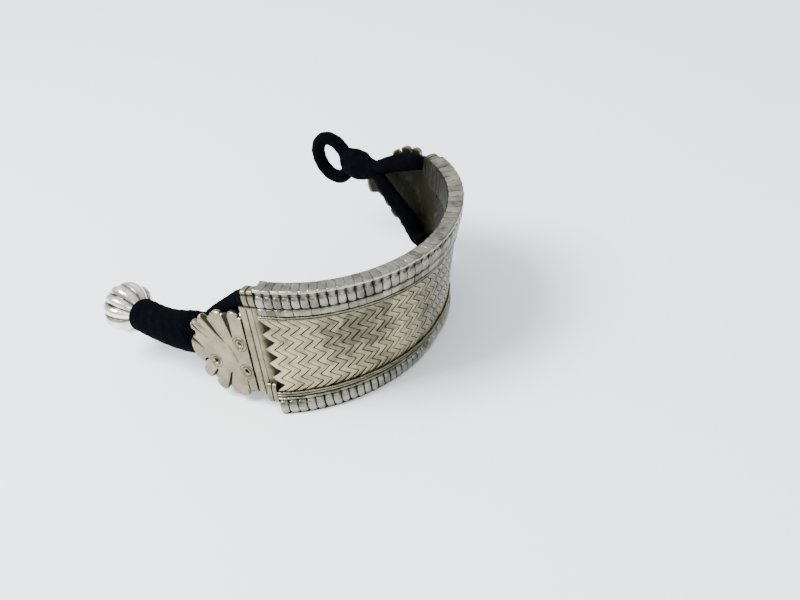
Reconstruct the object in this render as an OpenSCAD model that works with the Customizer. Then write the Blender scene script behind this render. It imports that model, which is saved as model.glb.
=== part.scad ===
// Woven silver bracelet, unfastened, standing on its lower edge with the arm axis upright.
// A band of zigzag links runs between two rows of faceted edge links. Each end has a cap and a
// fan plate, and a thread-wound tie: one carries a melon bead, the other a loop.
// Lengths are millimetres. s runs along the upper edge, r inward from its face, z up from the floor.

/* [Band] */
// Number of edge links along each edge
link_count = 38; // [34:1:40]
// Spacing of the edge links over the front third
link_pitch = 2.53; // [2.5:0.01:2.6]
// Number of links, from the front, that keep this spacing; the rest widen one by one
even_links = 12; // [8:1:16]
// Length of the upper edge behind the start of its curve
band_len = 106.4; // [104:0.2:108]
// Height of the band from edge to edge
band_h = 40.4; // [39:0.2:42]
// Radial thickness of an edge link
edge_t = 5; // [4.8:0.1:5.2]
// Share of its spacing that an edge link fills
edge_fill = 0.9; // [0.84:0.01:0.92]
// Radii of the five equal arcs of the band, from the front end to the rear end
arc_radii = [42.5, 42, 37, 53, 47.7]; // [34:0.1:56]
// How far the lower edge stands inside the upper one at the front end
lean_front = -1.8; // [-2.4:0.2:0]
// How much further in it stands past the middle
lean_gain = 11.7; // [8:0.1:12]
// How much of that it gives back towards the rear end
lean_return = 3.5; // [2:0.1:5]
// How far the foot of the front end trails along the band
front_rake = 1.8; // [0:0.1:2.6]

/* [Weave] */
// Number of zigzag links
weave_count = 38; // [34:1:39]
// Number of full zigzags across the field
weave_periods = 5; // [4:1:6]
// Side-to-side reach of one zigzag
weave_reach = 3.2; // [2.4:0.1:3.4]
// Gap between neighbouring zigzag links
weave_gap = 0.24; // [0.2:0.02:0.34]
// Depth of the weave's face behind the edge links
weave_face = 1.2; // [1.1:0.05:1.4]
// Depth of the weave's inner side
weave_back = 3.9; // [3.2:0.1:4]

/* [Edge wires] */
// Radius of a border wire
wire_r = 0.32; // [0.26:0.02:0.34]

/* [End caps] */
// Width of an end cap along the band
cap_w = 6.6; // [6.2:0.1:7]
// Depth of the cap plate's outer face
plate_face = 2.2; // [2.1:0.05:2.4]
// Thickness of the cap plate
plate_t = 1.1; // [1:0.1:1.2]
// Radius of the bores that the ties start in
bore_r = 1.5; // [1.4:0.1:1.6]

/* [Fans] */
// Thickness of a fan plate
fan_t = 1.3; // [1:0.1:1.6]
// Depth of the grooves between its petals
groove_d = 0.55; // [0.3:0.05:0.7]
// How far the front fan turns inward from the band's end
front_fan_turn = 10; // [4:1:14]
// How far the rear fan turns inward from the band's end
rear_fan_turn = 20; // [14:1:22]

/* [Ties and bead] */
// Diameter of the wound cord in the loop
loop_d = 4.2; // [3.8:0.1:4.4]
// Diameter of the melon bead
bead_d = 14.7; // [14:0.1:15.2]
// Number of lobes round the bead
bead_lobes = 10; // [8:1:12]
// Depth of the valleys between the lobes
bead_valley = 0.9; // [0.5:0.1:1.1]

/* [Hidden] */

silver = [0.78, 0.77, 0.73];
dark_silver = [0.52, 0.51, 0.47];
bright_silver = [0.88, 0.88, 0.87];
thread = [0.06, 0.06, 0.08];

// Middle of the whole object's box, which becomes the frame's origin
centre = [-10.7, 44.8];

gap = 0.1;
arc_len = band_len/len(arc_radii);
last_arc = len(arc_radii) - 1;
// Outer side of the first link, just ahead of the start of the curve
front_start = -0.9;

// Place on the plan curve: x, y and heading
function along(from, i, d) =
    let(r = arc_radii[i], a = from[2], b = a + d/r*180/PI)
    [from[0] + r*(sin(b) - sin(a)), from[1] + r*(cos(a) - cos(b)), b];

function arc_end(i) = i < 0 ? [0, 0, 0] : along(arc_end(i - 1), i, arc_len);

function ahead(from, d) = [from[0] + d*cos(from[2]), from[1] + d*sin(from[2]), from[2]];

function plan(s) =
    s < 0 ? ahead([0, 0, 0], s) :
    s > band_len ? ahead(arc_end(last_arc), s - band_len) :
    let(i = min(floor(s/arc_len), last_arc))
    along(arc_end(i - 1), i, s - i*arc_len);

function share(s) = min(max(s/band_len, 0), 1);

// Inward step of the lower edge: it grows over the first three fifths and eases towards the rear
function lean(s) =
    lean_front + lean_gain*sin(90*min(share(s)/0.6, 1)) - lean_return*max(share(s) - 0.6, 0)/0.4;

// Step of the lower edge along the band, which fades out over the front part
rake_fade = 40;
function rake(s) = front_rake*min(max(1 - (s - front_start)/rake_fade, 0), 1);

function at(s, r, z) =
    let(p = plan(s), low = 1 - z/band_h, d = lean(s)*low + r, e = rake(s)*low)
    [p[0] - d*sin(p[2]) + e*cos(p[2]), p[1] + d*cos(p[2]) + e*sin(p[2]), z];

// Solid through a list of rings with equally many points each
module loft(rings, closed = false) {
    n = len(rings[0]);
    m = len(rings);
    last = closed ? m - 1 : m - 2;
    sides = [
        for (i = [0:last]) for (j = [0:n - 1]) for (k = [0, 1])
            let(a = i*n + j, b = i*n + (j + 1)%n, c = ((i + 1)%m)*n + j, d = ((i + 1)%m)*n + (j + 1)%n)
            k == 0 ? [a, b, d] : [a, d, c]
    ];
    ends = closed ? [] : [[for (j = [n - 1:-1:0]) j], [for (j = [0:n - 1]) (m - 1)*n + j]];
    polyhedron(points = [for (ring = rings) for (p = ring) p], faces = concat(sides, ends), convexity = 4);
}

// Outlines of an edge link, seen along the band. Each row is the distance from the edge, the depth,
// and how far the middle of the link stands proud of its sides there. The upper link has a worn top
// corner, an undercut, a long oval and a square; the lower one has a recessed foot instead.
upper_outline = [
    [0, 0.3, 0.15], [0.4, 0.05, 0.15], [0.8, 0.7, 0], [1.7, 0.7, 0], [2.2, 0.3, 0.25], [3.6, 0.05, 0.25],
    [5.5, 0.3, 0.25], [6.1, 0.85, 0], [6.5, 0.45, 0.1], [8.1, 0.45, 0.1], [8.3, 1.4, 0],
    [8.3, edge_t - 0.5, 0], [0.5, edge_t, 0], [0, edge_t - 0.3, 0]
];
lower_outline = [
    [0, 1, 0], [0.6, 0.45, 0.2], [2.4, 0.05, 0.25], [4, 0.3, 0.2], [4.5, 0.8, 0], [4.7, 0.45, 0.1],
    [5.4, 0.45, 0.1], [5.6, 1.4, 0], [5.6, edge_t - 0.5, 0], [0.5, edge_t, 0], [0, edge_t - 0.3, 0]
];
upper_inner = 8.3;
lower_inner = 5.6;

function edge_ring(s, upper, crown) =
    let(outline = upper ? upper_outline : lower_outline, n = len(outline))
    [for (k = [0:n - 1])
        let(q = outline[upper ? k : n - 1 - k])
        at(s, q[1] - crown*q[2], upper ? band_h - q[0] : q[0])];

// Start of link i along the band
widening = (band_len - front_start - link_count*link_pitch)/pow(link_count - even_links, 2);
function link_start(i) = front_start + i*link_pitch + widening*pow(max(i - even_links, 0), 2);

module edge_row(upper) {
    for (i = [0:link_count - 1]) {
        middle = (link_start(i) + link_start(i + 1))/2;
        half = (link_start(i + 1) - link_start(i))*edge_fill/2;
        loft([
            edge_ring(middle - half, upper, 0),
            edge_ring(middle, upper, 1),
            edge_ring(middle + half, upper, 0)
        ]);
    }
}

// The zigzags run between two heights and go on straight behind the border wires
field_low = 7;
field_high = band_h - 10.1;
hem_low = lower_inner + 0.2;
hem_high = band_h - upper_inner - 0.2;
// The outermost zigzags reach this far over the caps
overhang = 0.8;
// Room over the cap's plate, which stays flat while the band begins to lean in
lean_room = 0.45;
first_edge = front_start - overhang + weave_reach/2;
last_edge = band_len + overhang - weave_reach/2;
weave_pitch = (last_edge - first_edge)/weave_count;

// Beside the caps' lower blocks, up to this height, the outermost zigzags stop at the band's ends
block_top = 9.5;
function cleared(s, z) = z > block_top + 0.3 ? s : min(max(s, front_start), band_len);

function zigzag_ring(s, z, back) =
    let(half = (weave_pitch - weave_gap)/2, a = cleared(s - half, z), b = cleared(s + half, z))
    [at(a, back, z), at(b, back, z), at(b, weave_face + 0.15, z), at(a, weave_face, z)];

module zigzag_link(i) {
    s = first_edge + (i + 0.5)*weave_pitch;
    outermost = i == 0 || i == weave_count - 1;
    back = outermost ? plate_face - gap - lean_room : weave_back;
    steps = 2*weave_periods;
    step_h = (field_high - field_low)/steps;
    loft(concat(
        [zigzag_ring(s - weave_reach/2, hem_low, back)],
        [for (k = [0:steps]) zigzag_ring(s + (k%2 - 0.5)*weave_reach, field_low + k*step_h, back)],
        [zigzag_ring(s - weave_reach/2, hem_high, back)]
    ));
}

// Ring round one place of a tube that runs along the band
function wire_ring(s, r, z, radius, sides) =
    [for (j = [0:sides - 1]) at(s, r + radius*cos(360*j/sides), z + radius*sin(360*j/sides))];

// The upper wires run a little past the edge links, the lower ones stop at the corner blocks
module border_wire(z, past) {
    stations = 28;
    from = front_start - past;
    step = (band_len + past - from)/stations;
    loft([for (i = [0:stations]) wire_ring(from + i*step, weave_face - wire_r - gap, z, wire_r, 6)]);
}

// Distances of the two border wires past the inner side of the edge links
wire_steps = [0.5, 1.25];

// Frame of an end: x runs out of the band, y inward, z up along the leaning end
module at_end(rear) {
    s = rear ? band_len : front_start;
    p = plan(s);
    top = at(s, 0, band_h);
    translate(top) rotate([0, 0, p[2]]) rotate([atan(lean(s)/band_h), -atan(rake(s)/band_h), 0])
        translate([0, 0, -band_h]) {
            if (rear) {
                children();
            } else {
                mirror([1, 0, 0]) children();
            }
        }
}

// The same frame as a function of a point in it
function on_end(rear, q) =
    let(s = rear ? band_len : front_start, p = plan(s),
        tilt = atan(lean(s)/band_h), swing = -atan(rake(s)/band_h),
        x = rear ? q[0] : -q[0], z = q[2] - band_h,
        inward = q[1]*cos(tilt) - z*sin(tilt), up = q[1]*sin(tilt) + z*cos(tilt),
        out = x*cos(swing) + up*sin(swing))
    at(s, 0, band_h)
        + [out*cos(p[2]) - inward*sin(p[2]), out*sin(p[2]) + inward*cos(p[2]), up*cos(swing) - x*sin(swing)];

// Corner blocks of a cap, seen along the band. Each row is the depth and the height.
upper_block = [
    [0.6, 34], [0.35, 35.8], [0.15, 38.4], [0.6, band_h - 0.9], [4, band_h - 1.2], [4.7, 38.2], [4.7, 33.4],
    [plate_face, 33.4], [plate_face, 34]
];
lower_block = [
    [0.9, 3.5], [3.2, 3.5], [3.4, 4.2], [3.4, block_top - 0.2], [1.2, block_top], [0.65, 8.6], [0.55, 4.6]
];
// The blocks' widths along the band and the place of the score line between their halves
upper_block_w = 4;
lower_block_w = 3.2;
upper_score = 2.2;
lower_score = 1.6;
// Depth and height of the two bores: one in the upper block, one in a barrel behind the plate
upper_cord = [2.6, band_h - 4.1];
lower_cord = [5.3, 12];
barrel_r = 2.1;
barrel_start = 0.6;
barrel_end = 4.6;
bore_len = 2.2;
// The cap's thin grooves: the score lines down the blocks and the notches under the upper block
score_w = 0.24;
notch_w = 0.6;

// Bore that opens outward, with its inner end at x
module cord_bore(cord, x) {
    translate([x, cord[0], cord[1]]) rotate([0, 90, 0]) cylinder(h = 2*bore_len, r = bore_r, $fn = 32);
}

module score_line(x) {
    translate([x - score_w/2, -1, 0]) cube([score_w, 1.9, band_h + 1]);
}

module upper_corner() {
    difference() {
        translate([gap, 0, 0]) rotate([90, 0, 90]) linear_extrude(upper_block_w - gap) polygon(upper_block);
        cord_bore(upper_cord, upper_block_w - bore_len);
        score_line(upper_score);
        for (x = [gap, upper_score]) {
            translate([x - notch_w/2, -1, 34.4]) cube([notch_w, 2.4, 1.2]);
        }
    }
}

module lower_corner() {
    difference() {
        translate([gap, 0, 0]) rotate([90, 0, 90]) linear_extrude(lower_block_w - gap) polygon(lower_block);
        score_line(lower_score);
    }
}

module barrel() {
    translate([barrel_start, lower_cord[0], lower_cord[1]]) rotate([0, 90, 0])
        cylinder(h = barrel_end - barrel_start, r = barrel_r, $fn = 32);
}

// Ridges of the plate: a narrow one, and a broad flat one at the fan
narrow_ridge = [3.75, 0.65];
broad_ridge = [5.5, 1.25];
ridge_sunk = 0.6;

module ridge(place, sunk, low, high) {
    translate([place[0], plate_face + sunk, low]) cylinder(h = high - low, r = place[1], $fn = 32);
}

module end_cap() {
    plate_low = 4.9;
    plate_high = 33.7;
    under = 1.5;
    upper_corner();
    lower_corner();
    difference() {
        union() {
            translate([gap, plate_face, plate_low]) cube([cap_w - gap, plate_t, plate_high - plate_low]);
            barrel();
        }
        cord_bore(lower_cord, barrel_end - bore_len);
    }
    // Tongue that runs on under the outermost zigzags
    translate([-under, plate_face, hem_low]) cube([under + 1, plate_t, hem_high - 0.7 - hem_low]);
    ridge(narrow_ridge, gap, plate_low, plate_high - 0.2);
    intersection() {
        ridge(broad_ridge, ridge_sunk, plate_low - 0.2, plate_high - 0.2);
        translate([narrow_ridge[0], 0, 0]) cube([cap_w - narrow_ridge[0], plate_face + plate_t, band_h]);
    }
}

// Petals of each fan: direction from its middle in degrees, reach, half of its angle
front_petals = [
    [96, 13.4, 8], [62, 13.3, 12], [36, 15.1, 7.5], [21.5, 16.7, 6], [-8, 17.3, 17],
    [-36, 17.8, 7], [-54.5, 17.3, 7.6], [-78.5, 15.5, 12], [-102, 13.4, 7]
];
rear_petals = [
    [92, 13.4, 8], [72, 13.4, 8.5], [51, 13.2, 8], [31, 12.8, 8], [-8, 17.3, 15],
    [-36, 15, 8], [-54.5, 15, 7.6], [-78.5, 15.5, 12], [-102, 13.4, 7]
];
// Inner ends of the grooves between the petals: turn from the groove's direction at the rim, and
// distance from the fan's middle
groove_ends = [
    [-3, 4.3], [-22, 4.4], [-15, 10.7], [-19.6, 12.2], [6.3, 12.6], [5.5, 11.8], [3.7, 8.6], [-4, 8.5]
];
// Ring-and-dot bosses: place along the fan and above its middle, radius
bosses = [[2.6, 2.9, 2.2], [13, -4.8, 2], [2.3, -6, 2.2]];
// Middle that the petals spread from, and a length beyond the longest petal
fan_middle = [4, 0];
fan_reach = 22;

function on_fan(angle, reach) = fan_middle + reach*[cos(angle), sin(angle)];

module petal_outline(p) {
    droop = 2*PI*p[1]*p[2]/360*0.55;
    polygon(concat(
        [fan_middle],
        [for (a = [-60:20:60]) on_fan(p[0] + p[2]*sin(a)/sin(60), p[1] - droop*(1 - cos(a)))]
    ));
}

// Plate behind the notches between the petals, as a share of their reach
web_share = 0.9;

// The fan is drawn a little past its root, and cut off there by the plane of the cap's end
root = -0.6;

module fan_outline(petals) {
    intersection() {
        union() {
            for (p = petals) {
                petal_outline(p);
            }
            polygon([for (p = petals) for (side = [1, -1]) on_fan(p[0] + side*p[2], p[1]*web_share)]);
            translate([root, -11.4]) square([6 - root, 23.4]);
            for (b = bosses) {
                translate([b[0], b[1]]) circle(r = b[2], $fn = 24);
            }
        }
        translate([root, -fan_reach]) square([2*fan_reach, 2*fan_reach]);
    }
}

// Wedge between petals k and k + 1, open towards the rim
module groove_outline(petals, k) {
    from = petals[k][0] - petals[k][2];
    to = petals[k + 1][0] + petals[k + 1][2];
    middle = (from + to)/2;
    half = max((from - to)/2, 1)*0.8;
    tip = groove_ends[k];
    polygon([
        on_fan(middle + tip[0], tip[1]), on_fan(middle - half, fan_reach), on_fan(middle + half, fan_reach)
    ]);
}

// Ring of a boss between two radii, cut off at the fan's root
module boss_ring(b, inner, outer, rise) {
    intersection() {
        translate([b[0], b[1], fan_t - 0.2]) difference() {
            cylinder(h = rise + 0.2, r = outer, $fn = 32);
            translate([0, 0, -1]) cylinder(h = rise + 3, r = inner, $fn = 32);
        }
        translate([root, -fan_reach, 0]) cube([2*fan_reach, 2*fan_reach, 2*fan_t]);
    }
}

module fan(petals) {
    difference() {
        linear_extrude(fan_t) fan_outline(petals);
        for (k = [0:len(petals) - 2]) {
            translate([0, 0, fan_t - groove_d]) linear_extrude(1) groove_outline(petals, k);
        }
        for (b = bosses) {
            translate([b[0], b[1], fan_t - 0.35]) cylinder(h = 2, r = 0.8, $fn = 20);
        }
    }
    for (b = bosses) {
        boss_ring(b, b[2] - 0.4, b[2], 0.25);
        boss_ring(b, 0.8, 1.3, 0.25);
    }
}

// Depth of a fan's outer face, and height of its middle
fan_face = 1.6;
front_fan_z = 18.2;
rear_fan_z = 26.2;

module end_fan(rear) {
    at_end(rear) intersection() {
        translate([cap_w + gap, fan_face, rear ? rear_fan_z : front_fan_z])
            rotate([0, 0, rear ? rear_fan_turn : front_fan_turn])
                translate([0, fan_t, 0]) rotate([90, 0, 0]) fan(rear ? rear_petals : front_petals);
        translate([cap_w + gap, -band_h, -band_h]) cube(3*band_h);
    }
}

function unit(v) = v/norm(v);

// Ring across a tube: centre, direction, half height and half width
function tube_ring(c, dir, high, wide, sides) =
    let(across = unit(cross(dir, [0, 0, 1])), rise = cross(across, dir))
    [for (j = [0:sides - 1]) c + wide*cos(360*j/sides)*across + high*sin(360*j/sides)*rise];

function row_place(row) = [row[0], row[1], row[2]];

// Tube through rows of x, y, z, half height and half width
module tube(rows, sides = 10) {
    n = len(rows);
    loft([
        for (i = [0:n - 1])
            let(a = row_place(rows[max(i - 1, 0)]), b = row_place(rows[min(i + 1, n - 1)]))
            tube_ring(row_place(rows[i]), unit(b - a), rows[i][3], rows[i][4], sides)
    ]);
}

// Legs past the bores they start in: distance out from the end, depth, height, half height and
// half width. The last row lies in the neck.
front_upper_leg = [
    [5.4, 3.2, 35.9, 1.7, 1.5], [6.6, 5.3, 34.5, 2.5, 1.8], [7.6, 6.1, 33, 2.9, 2.1], [9, 6.5, 31.3, 3, 2.15],
    [12, 7.1, 28.5, 2.7, 2.15], [16, 8.2, 24.6, 2.6, 2.15], [20, 9.2, 21.2, 2.6, 2.1], [23, 9.8, 19.4, 2.2, 2]
];
front_lower_leg = [
    [5.6, 5.7, 12, 2, 2], [9, 6.7, 12.2, 2.5, 2.15], [13, 7.7, 12.8, 2.6, 2.15], [18, 9, 13.6, 2.6, 2.15],
    [23, 9.8, 14.4, 2.2, 2]
];
rear_upper_leg = [
    [5.4, 3.7, 36.8, 1.6, 1.3], [6.6, 6, 37, 2.2, 1.6], [9, 6.9, 36.6, 2.6, 2.15], [14, 8.8, 35, 2.6, 2.15],
    [18.5, 10.7, 33.2, 2.4, 2.1], [21.6, 11.8, 31.9, 1.9, 1.9]
];
rear_lower_leg = [
    [6.5, 6.1, 14.2, 1.8, 1.8], [8, 6.8, 17.2, 2.7, 2.15], [10.5, 7.8, 20.2, 2.7, 2.15],
    [13.5, 9, 23, 2.7, 2.15], [17.6, 10.7, 27, 2.5, 2.1], [20.8, 11.7, 30, 1.9, 1.9]
];
// The cord in a bore is this much thinner than the bore, and stands out of it a little
bore_play = 0.15;
cord_out = 0.2;

// Rows of a leg: two in its bore, which ends at x = mouth, and then the table's
function leg_rows(rear, cord, mouth, rows) = concat(
    [for (x = [mouth - bore_len + gap, mouth + cord_out])
        concat(on_end(rear, [x, cord[0], cord[1]]), [bore_r - bore_play, bore_r - bore_play])],
    [for (q = rows) concat(at(rear ? band_len + q[0] : front_start - q[0], q[1], q[2]), [q[3], q[4]])]
);

// Necks: x, y, z, half height and half width
front_neck = [
    [-21.5, 9.1, 16.9, 5.2, 2.4], [-24, 9.3, 16.6, 6.8, 2.7], [-28.3, 9.2, 16.1, 7.1, 3.9],
    [-32, 9.2, 16, 6.5, 4.6], [-37, 9.9, 15.9, 5.7, 4.8], [-43, 11.4, 16, 5.1, 4.9],
    [-48.6, 13.2, 16.2, 4.9, 4.9], [-49.4, 13.4, 16.2, 4, 4]
];
rear_neck = [
    [1.4, 80.9, 31.2, 2.4, 2], [-1, 81.8, 31, 3.1, 2.4], [-4, 82.9, 30.9, 3.9, 3], [-7, 84.5, 30.5, 4.7, 4.3],
    [-9.6, 85.8, 30.5, 4.5, 4.1], [-11.4, 86.7, 30.5, 3.4, 3]
];

module tie(rear) {
    tube(leg_rows(rear, upper_cord, upper_block_w, rear ? rear_upper_leg : front_upper_leg));
    tube(leg_rows(rear, lower_cord, barrel_end, rear ? rear_lower_leg : front_lower_leg));
    tube(rear ? rear_neck : front_neck, 12);
}

// The bead sits on the end of the front neck, its bore in line with it
bead_place = [-55.9, 15.7, 16.5];
bead_heading = 162;

// Lobed ball: latitude runs along its bore
module melon() {
    lats = 12;
    lons = bead_lobes*4;
    r = bead_d/2;
    loft([
        for (i = [1:lats - 1])
            let(lat = 180*i/lats)
            [for (j = [0:lons - 1])
                let(wave = abs(cos(180*bead_lobes*j/lons)),
                    q = (r - bead_valley*(1 - wave)*sin(lat))*sin(lat))
                [q*cos(360*j/lons), q*sin(360*j/lons), -r*0.95*cos(lat)]]
    ]);
}

// The loop starts at the end of the rear neck: its middle, half height and half width to the
// middle of the cord, heading of its plane, and its tilt in that plane
loop_place = [-18.9, 88.4, 30.4];
loop_high = 6.5;
loop_wide = 4.9;
loop_heading = 170;
loop_tilt = 15;

module loop() {
    turns = 28;
    sides = 8;
    r = loop_d/2;
    loft([
        for (i = [0:turns - 1])
            let(a = 360*i/turns, c = [loop_wide*cos(a), 0, loop_high*sin(a)],
                out = unit([loop_high*cos(a), 0, loop_wide*sin(a)]))
            [for (j = [0:sides - 1]) c + r*cos(360*j/sides)*out + r*sin(360*j/sides)*[0, 1, 0]]
    ], closed = true);
}

module centred() {
    translate([-centre[0], -centre[1], 0]) children();
}

module woven_links() {
    color(silver) centred() {
        for (i = [0:weave_count - 1]) {
            zigzag_link(i);
        }
    }
}

module upper_edge_links() {
    color(silver) centred() edge_row(true);
}

module lower_edge_links() {
    color(silver) centred() edge_row(false);
}

module upper_edge_wires() {
    color(dark_silver) centred() {
        for (step = wire_steps) {
            border_wire(band_h - upper_inner - step, 0.4);
        }
    }
}

module lower_edge_wires() {
    color(dark_silver) centred() {
        for (step = wire_steps) {
            border_wire(lower_inner + step, 0);
        }
    }
}

module front_cap() {
    color(silver) centred() at_end(false) end_cap();
}

module rear_cap() {
    color(silver) centred() at_end(true) end_cap();
}

module front_fan() {
    color(silver) centred() end_fan(false);
}

module rear_fan() {
    color(silver) centred() end_fan(true);
}

module front_tie() {
    color(thread) centred() tie(false);
}

module rear_tie() {
    color(thread) centred() tie(true);
}

module rear_loop() {
    color(thread) centred()
        translate(loop_place) rotate([0, 0, loop_heading]) rotate([0, loop_tilt, 0]) loop();
}

module melon_bead() {
    color(bright_silver) centred()
        translate(bead_place) rotate([0, 0, bead_heading]) rotate([0, 90, 0]) melon();
}

woven_links();
upper_edge_links();
lower_edge_links();
upper_edge_wires();
lower_edge_wires();
front_cap();
rear_cap();
front_fan();
rear_fan();
front_tie();
rear_tie();
rear_loop();
melon_bead();
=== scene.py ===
"""Dresses the woven silver bracelet: its links, wires, caps, fan plates, wound ties, loop and bead."""
import logging
import math
from dataclasses import dataclass, field
from enum import Enum

import bmesh
import bpy
import numpy as np
from mathutils import Matrix, Vector


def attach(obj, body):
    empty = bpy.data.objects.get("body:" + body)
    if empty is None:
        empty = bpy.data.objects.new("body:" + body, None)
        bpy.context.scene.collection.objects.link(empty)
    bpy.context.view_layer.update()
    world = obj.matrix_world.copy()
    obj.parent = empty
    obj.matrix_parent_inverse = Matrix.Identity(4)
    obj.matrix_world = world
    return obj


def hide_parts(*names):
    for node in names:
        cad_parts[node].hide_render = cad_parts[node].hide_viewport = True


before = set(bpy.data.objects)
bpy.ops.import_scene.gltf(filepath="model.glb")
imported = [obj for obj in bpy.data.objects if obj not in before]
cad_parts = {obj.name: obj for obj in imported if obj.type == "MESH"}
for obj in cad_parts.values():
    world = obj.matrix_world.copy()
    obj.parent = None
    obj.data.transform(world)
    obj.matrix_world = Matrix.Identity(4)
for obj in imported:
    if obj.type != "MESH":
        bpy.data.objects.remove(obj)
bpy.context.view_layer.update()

LOG = logging.getLogger("bracelet")
MM = 0.001
BODY = "root"
FULL_TURN = 2 * math.pi
Rows = tuple[tuple[float, ...], ...]
Pair = tuple[float, float]
Triple = tuple[float, float, float]


class End(Enum):
    """The two ends of the band."""

    FRONT = "front"
    REAR = "rear"


class Edge(Enum):
    """The two long edges of the band."""

    UPPER = "upper"
    LOWER = "lower"


def smooth(low: float, high: float, value: np.ndarray) -> np.ndarray:
    """Smooth step from 0 at low to 1 at high.

    Args:
        low: Value where the step starts.
        high: Value where it ends.
        value: Where it is wanted.

    Returns:
        The step at each value.
    """
    t = np.clip((value - low) / (high - low), 0.0, 1.0)
    return t * t * (3.0 - 2.0 * t)


def bump(value: np.ndarray, middle: float, width: float) -> np.ndarray:
    """Bell of height 1 round middle, down to about a third at width from it."""
    return np.exp(-(((value - middle) / width) ** 2))


def wave(place: np.ndarray, size: float, rate: float, phase: float = 0.0) -> np.ndarray:
    """Sine of the given size that makes a hand-made surface a little uneven."""
    return size * np.sin(place * rate + phase)


def xyz(x: np.ndarray, y: np.ndarray, z: np.ndarray) -> np.ndarray:
    """Points from their coordinates, which go into the last axis."""
    return np.stack(np.broadcast_arrays(x, y, z), axis=-1)


@dataclass(frozen=True)
class Band:
    """Plan curve and leaning surface of the band, in millimetres.

    s runs along the upper edge, depth inward from its face and z up from the floor. The upper and lower
    rows are the heights of the edge links' faces.
    """

    length: float = 106.4
    height: float = 40.4
    upper_row: float = 8.3
    lower_row: float = 5.6
    radii: tuple[float, ...] = (42.5, 42.0, 37.0, 53.0, 47.7)
    start: float = -0.9
    lean_front: float = -1.8
    lean_gain: float = 11.7
    lean_peak: float = 0.6
    lean_return: float = 3.5
    front_rake: float = 1.8
    rake_fade: float = 40.0
    centre: Pair = (-10.7, 44.8)

    def plan(self, s: np.ndarray) -> tuple[np.ndarray, np.ndarray, np.ndarray]:
        """Place on the plan curve.

        Args:
            s: Distances along the upper edge.

        Returns:
            x, y and heading in radians at each of them.
        """
        s = np.asarray(s, float)
        arc = self.length / len(self.radii)
        joints = [(0.0, 0.0, 0.0)]
        for radius in self.radii:
            x, y, turn = joints[-1]
            after = turn + arc / radius
            x += radius * (math.sin(after) - math.sin(turn))
            y += radius * (math.cos(turn) - math.cos(after))
            joints.append((x, y, after))
        inside = np.clip(s, 0.0, self.length)
        index = np.minimum((inside / arc).astype(int), len(self.radii) - 1)
        joint = np.array(joints)[index]
        radius = np.array(self.radii)[index]
        turn = joint[..., 2]
        after = turn + (inside - index * arc) / radius
        x = joint[..., 0] + radius * (np.sin(after) - np.sin(turn))
        y = joint[..., 1] + radius * (np.cos(turn) - np.cos(after))
        rest = s - inside
        return x + rest * np.cos(after), y + rest * np.sin(after), after

    def lean(self, s: np.ndarray) -> np.ndarray:
        """How far the lower edge stands inside the upper one.

        Args:
            s: Distances along the upper edge.

        Returns:
            The lean at each of them.
        """
        share = np.clip(np.asarray(s, float) / self.length, 0.0, 1.0)
        gain = self.lean_gain * np.sin(math.pi / 2 * np.minimum(share / self.lean_peak, 1.0))
        back = self.lean_return * np.maximum(share - self.lean_peak, 0.0) / (1.0 - self.lean_peak)
        return self.lean_front + gain - back

    def rake(self, s: np.ndarray) -> np.ndarray:
        """How far the lower edge trails along the band at s."""
        return self.front_rake * np.clip(1.0 - (np.asarray(s, float) - self.start) / self.rake_fade, 0.0, 1.0)

    def at(self, s: np.ndarray, depth: np.ndarray, z: np.ndarray) -> np.ndarray:
        """Points of the band.

        Args:
            s: Distances along the upper edge.
            depth: Depths behind its face.
            z: Heights above the floor.

        Returns:
            The points, with x, y and z in the last axis.
        """
        s, depth, z = np.broadcast_arrays(np.asarray(s, float), depth, z)
        x, y, turn = self.plan(s)
        low = 1.0 - z / self.height
        inward = self.lean(s) * low + depth
        along = self.rake(s) * low
        return xyz(
            x - inward * np.sin(turn) + along * np.cos(turn) - self.centre[0],
            y + inward * np.cos(turn) + along * np.sin(turn) - self.centre[1],
            z,
        )

    def on_end(self, end: End, local: np.ndarray) -> np.ndarray:
        """Points given in the frame of an end: x out of the band, y inward, z along the leaning end.

        Args:
            end: Which end.
            local: The points in its frame.

        Returns:
            The same points in the frame of the whole bracelet.
        """
        local = np.asarray(local, float)
        rear = end is End.REAR
        s = self.length if rear else self.start
        turn = float(self.plan(s)[2])
        tilt = math.atan(float(self.lean(s)) / self.height)
        swing = -math.atan(float(self.rake(s)) / self.height)
        x = local[..., 0] if rear else -local[..., 0]
        z = local[..., 2] - self.height
        inward = local[..., 1] * math.cos(tilt) - z * math.sin(tilt)
        up = local[..., 1] * math.sin(tilt) + z * math.cos(tilt)
        out = x * math.cos(swing) + up * math.sin(swing)
        return self.at(s, 0.0, self.height) + xyz(
            out * math.cos(turn) - inward * math.sin(turn),
            out * math.sin(turn) + inward * math.cos(turn),
            up * math.cos(swing) - x * math.sin(swing),
        )

    def centred(self, place: Triple) -> Vector:
        """A place of the plan, seen from the middle of the bracelet's footprint."""
        return Vector((place[0] - self.centre[0], place[1] - self.centre[1], place[2]))

    def placed(self, points: np.ndarray, place: Triple, heading: float, tilt: float) -> np.ndarray:
        """Points tilted, turned and moved to a place of the plan.

        Args:
            points: The points round their own origin.
            place: Where that origin goes.
            heading: Turn about z in degrees.
            tilt: Turn about y in degrees, which comes first.

        Returns:
            The points in the frame of the whole bracelet.
        """
        where = (
            Matrix.Translation(self.centred(place))
            @ Matrix.Rotation(math.radians(heading), 4, "Z")
            @ Matrix.Rotation(math.radians(tilt), 4, "Y")
        )
        matrix = np.array(where)
        return points @ matrix[:3, :3].T + matrix[:3, 3]


BAND = Band()


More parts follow.
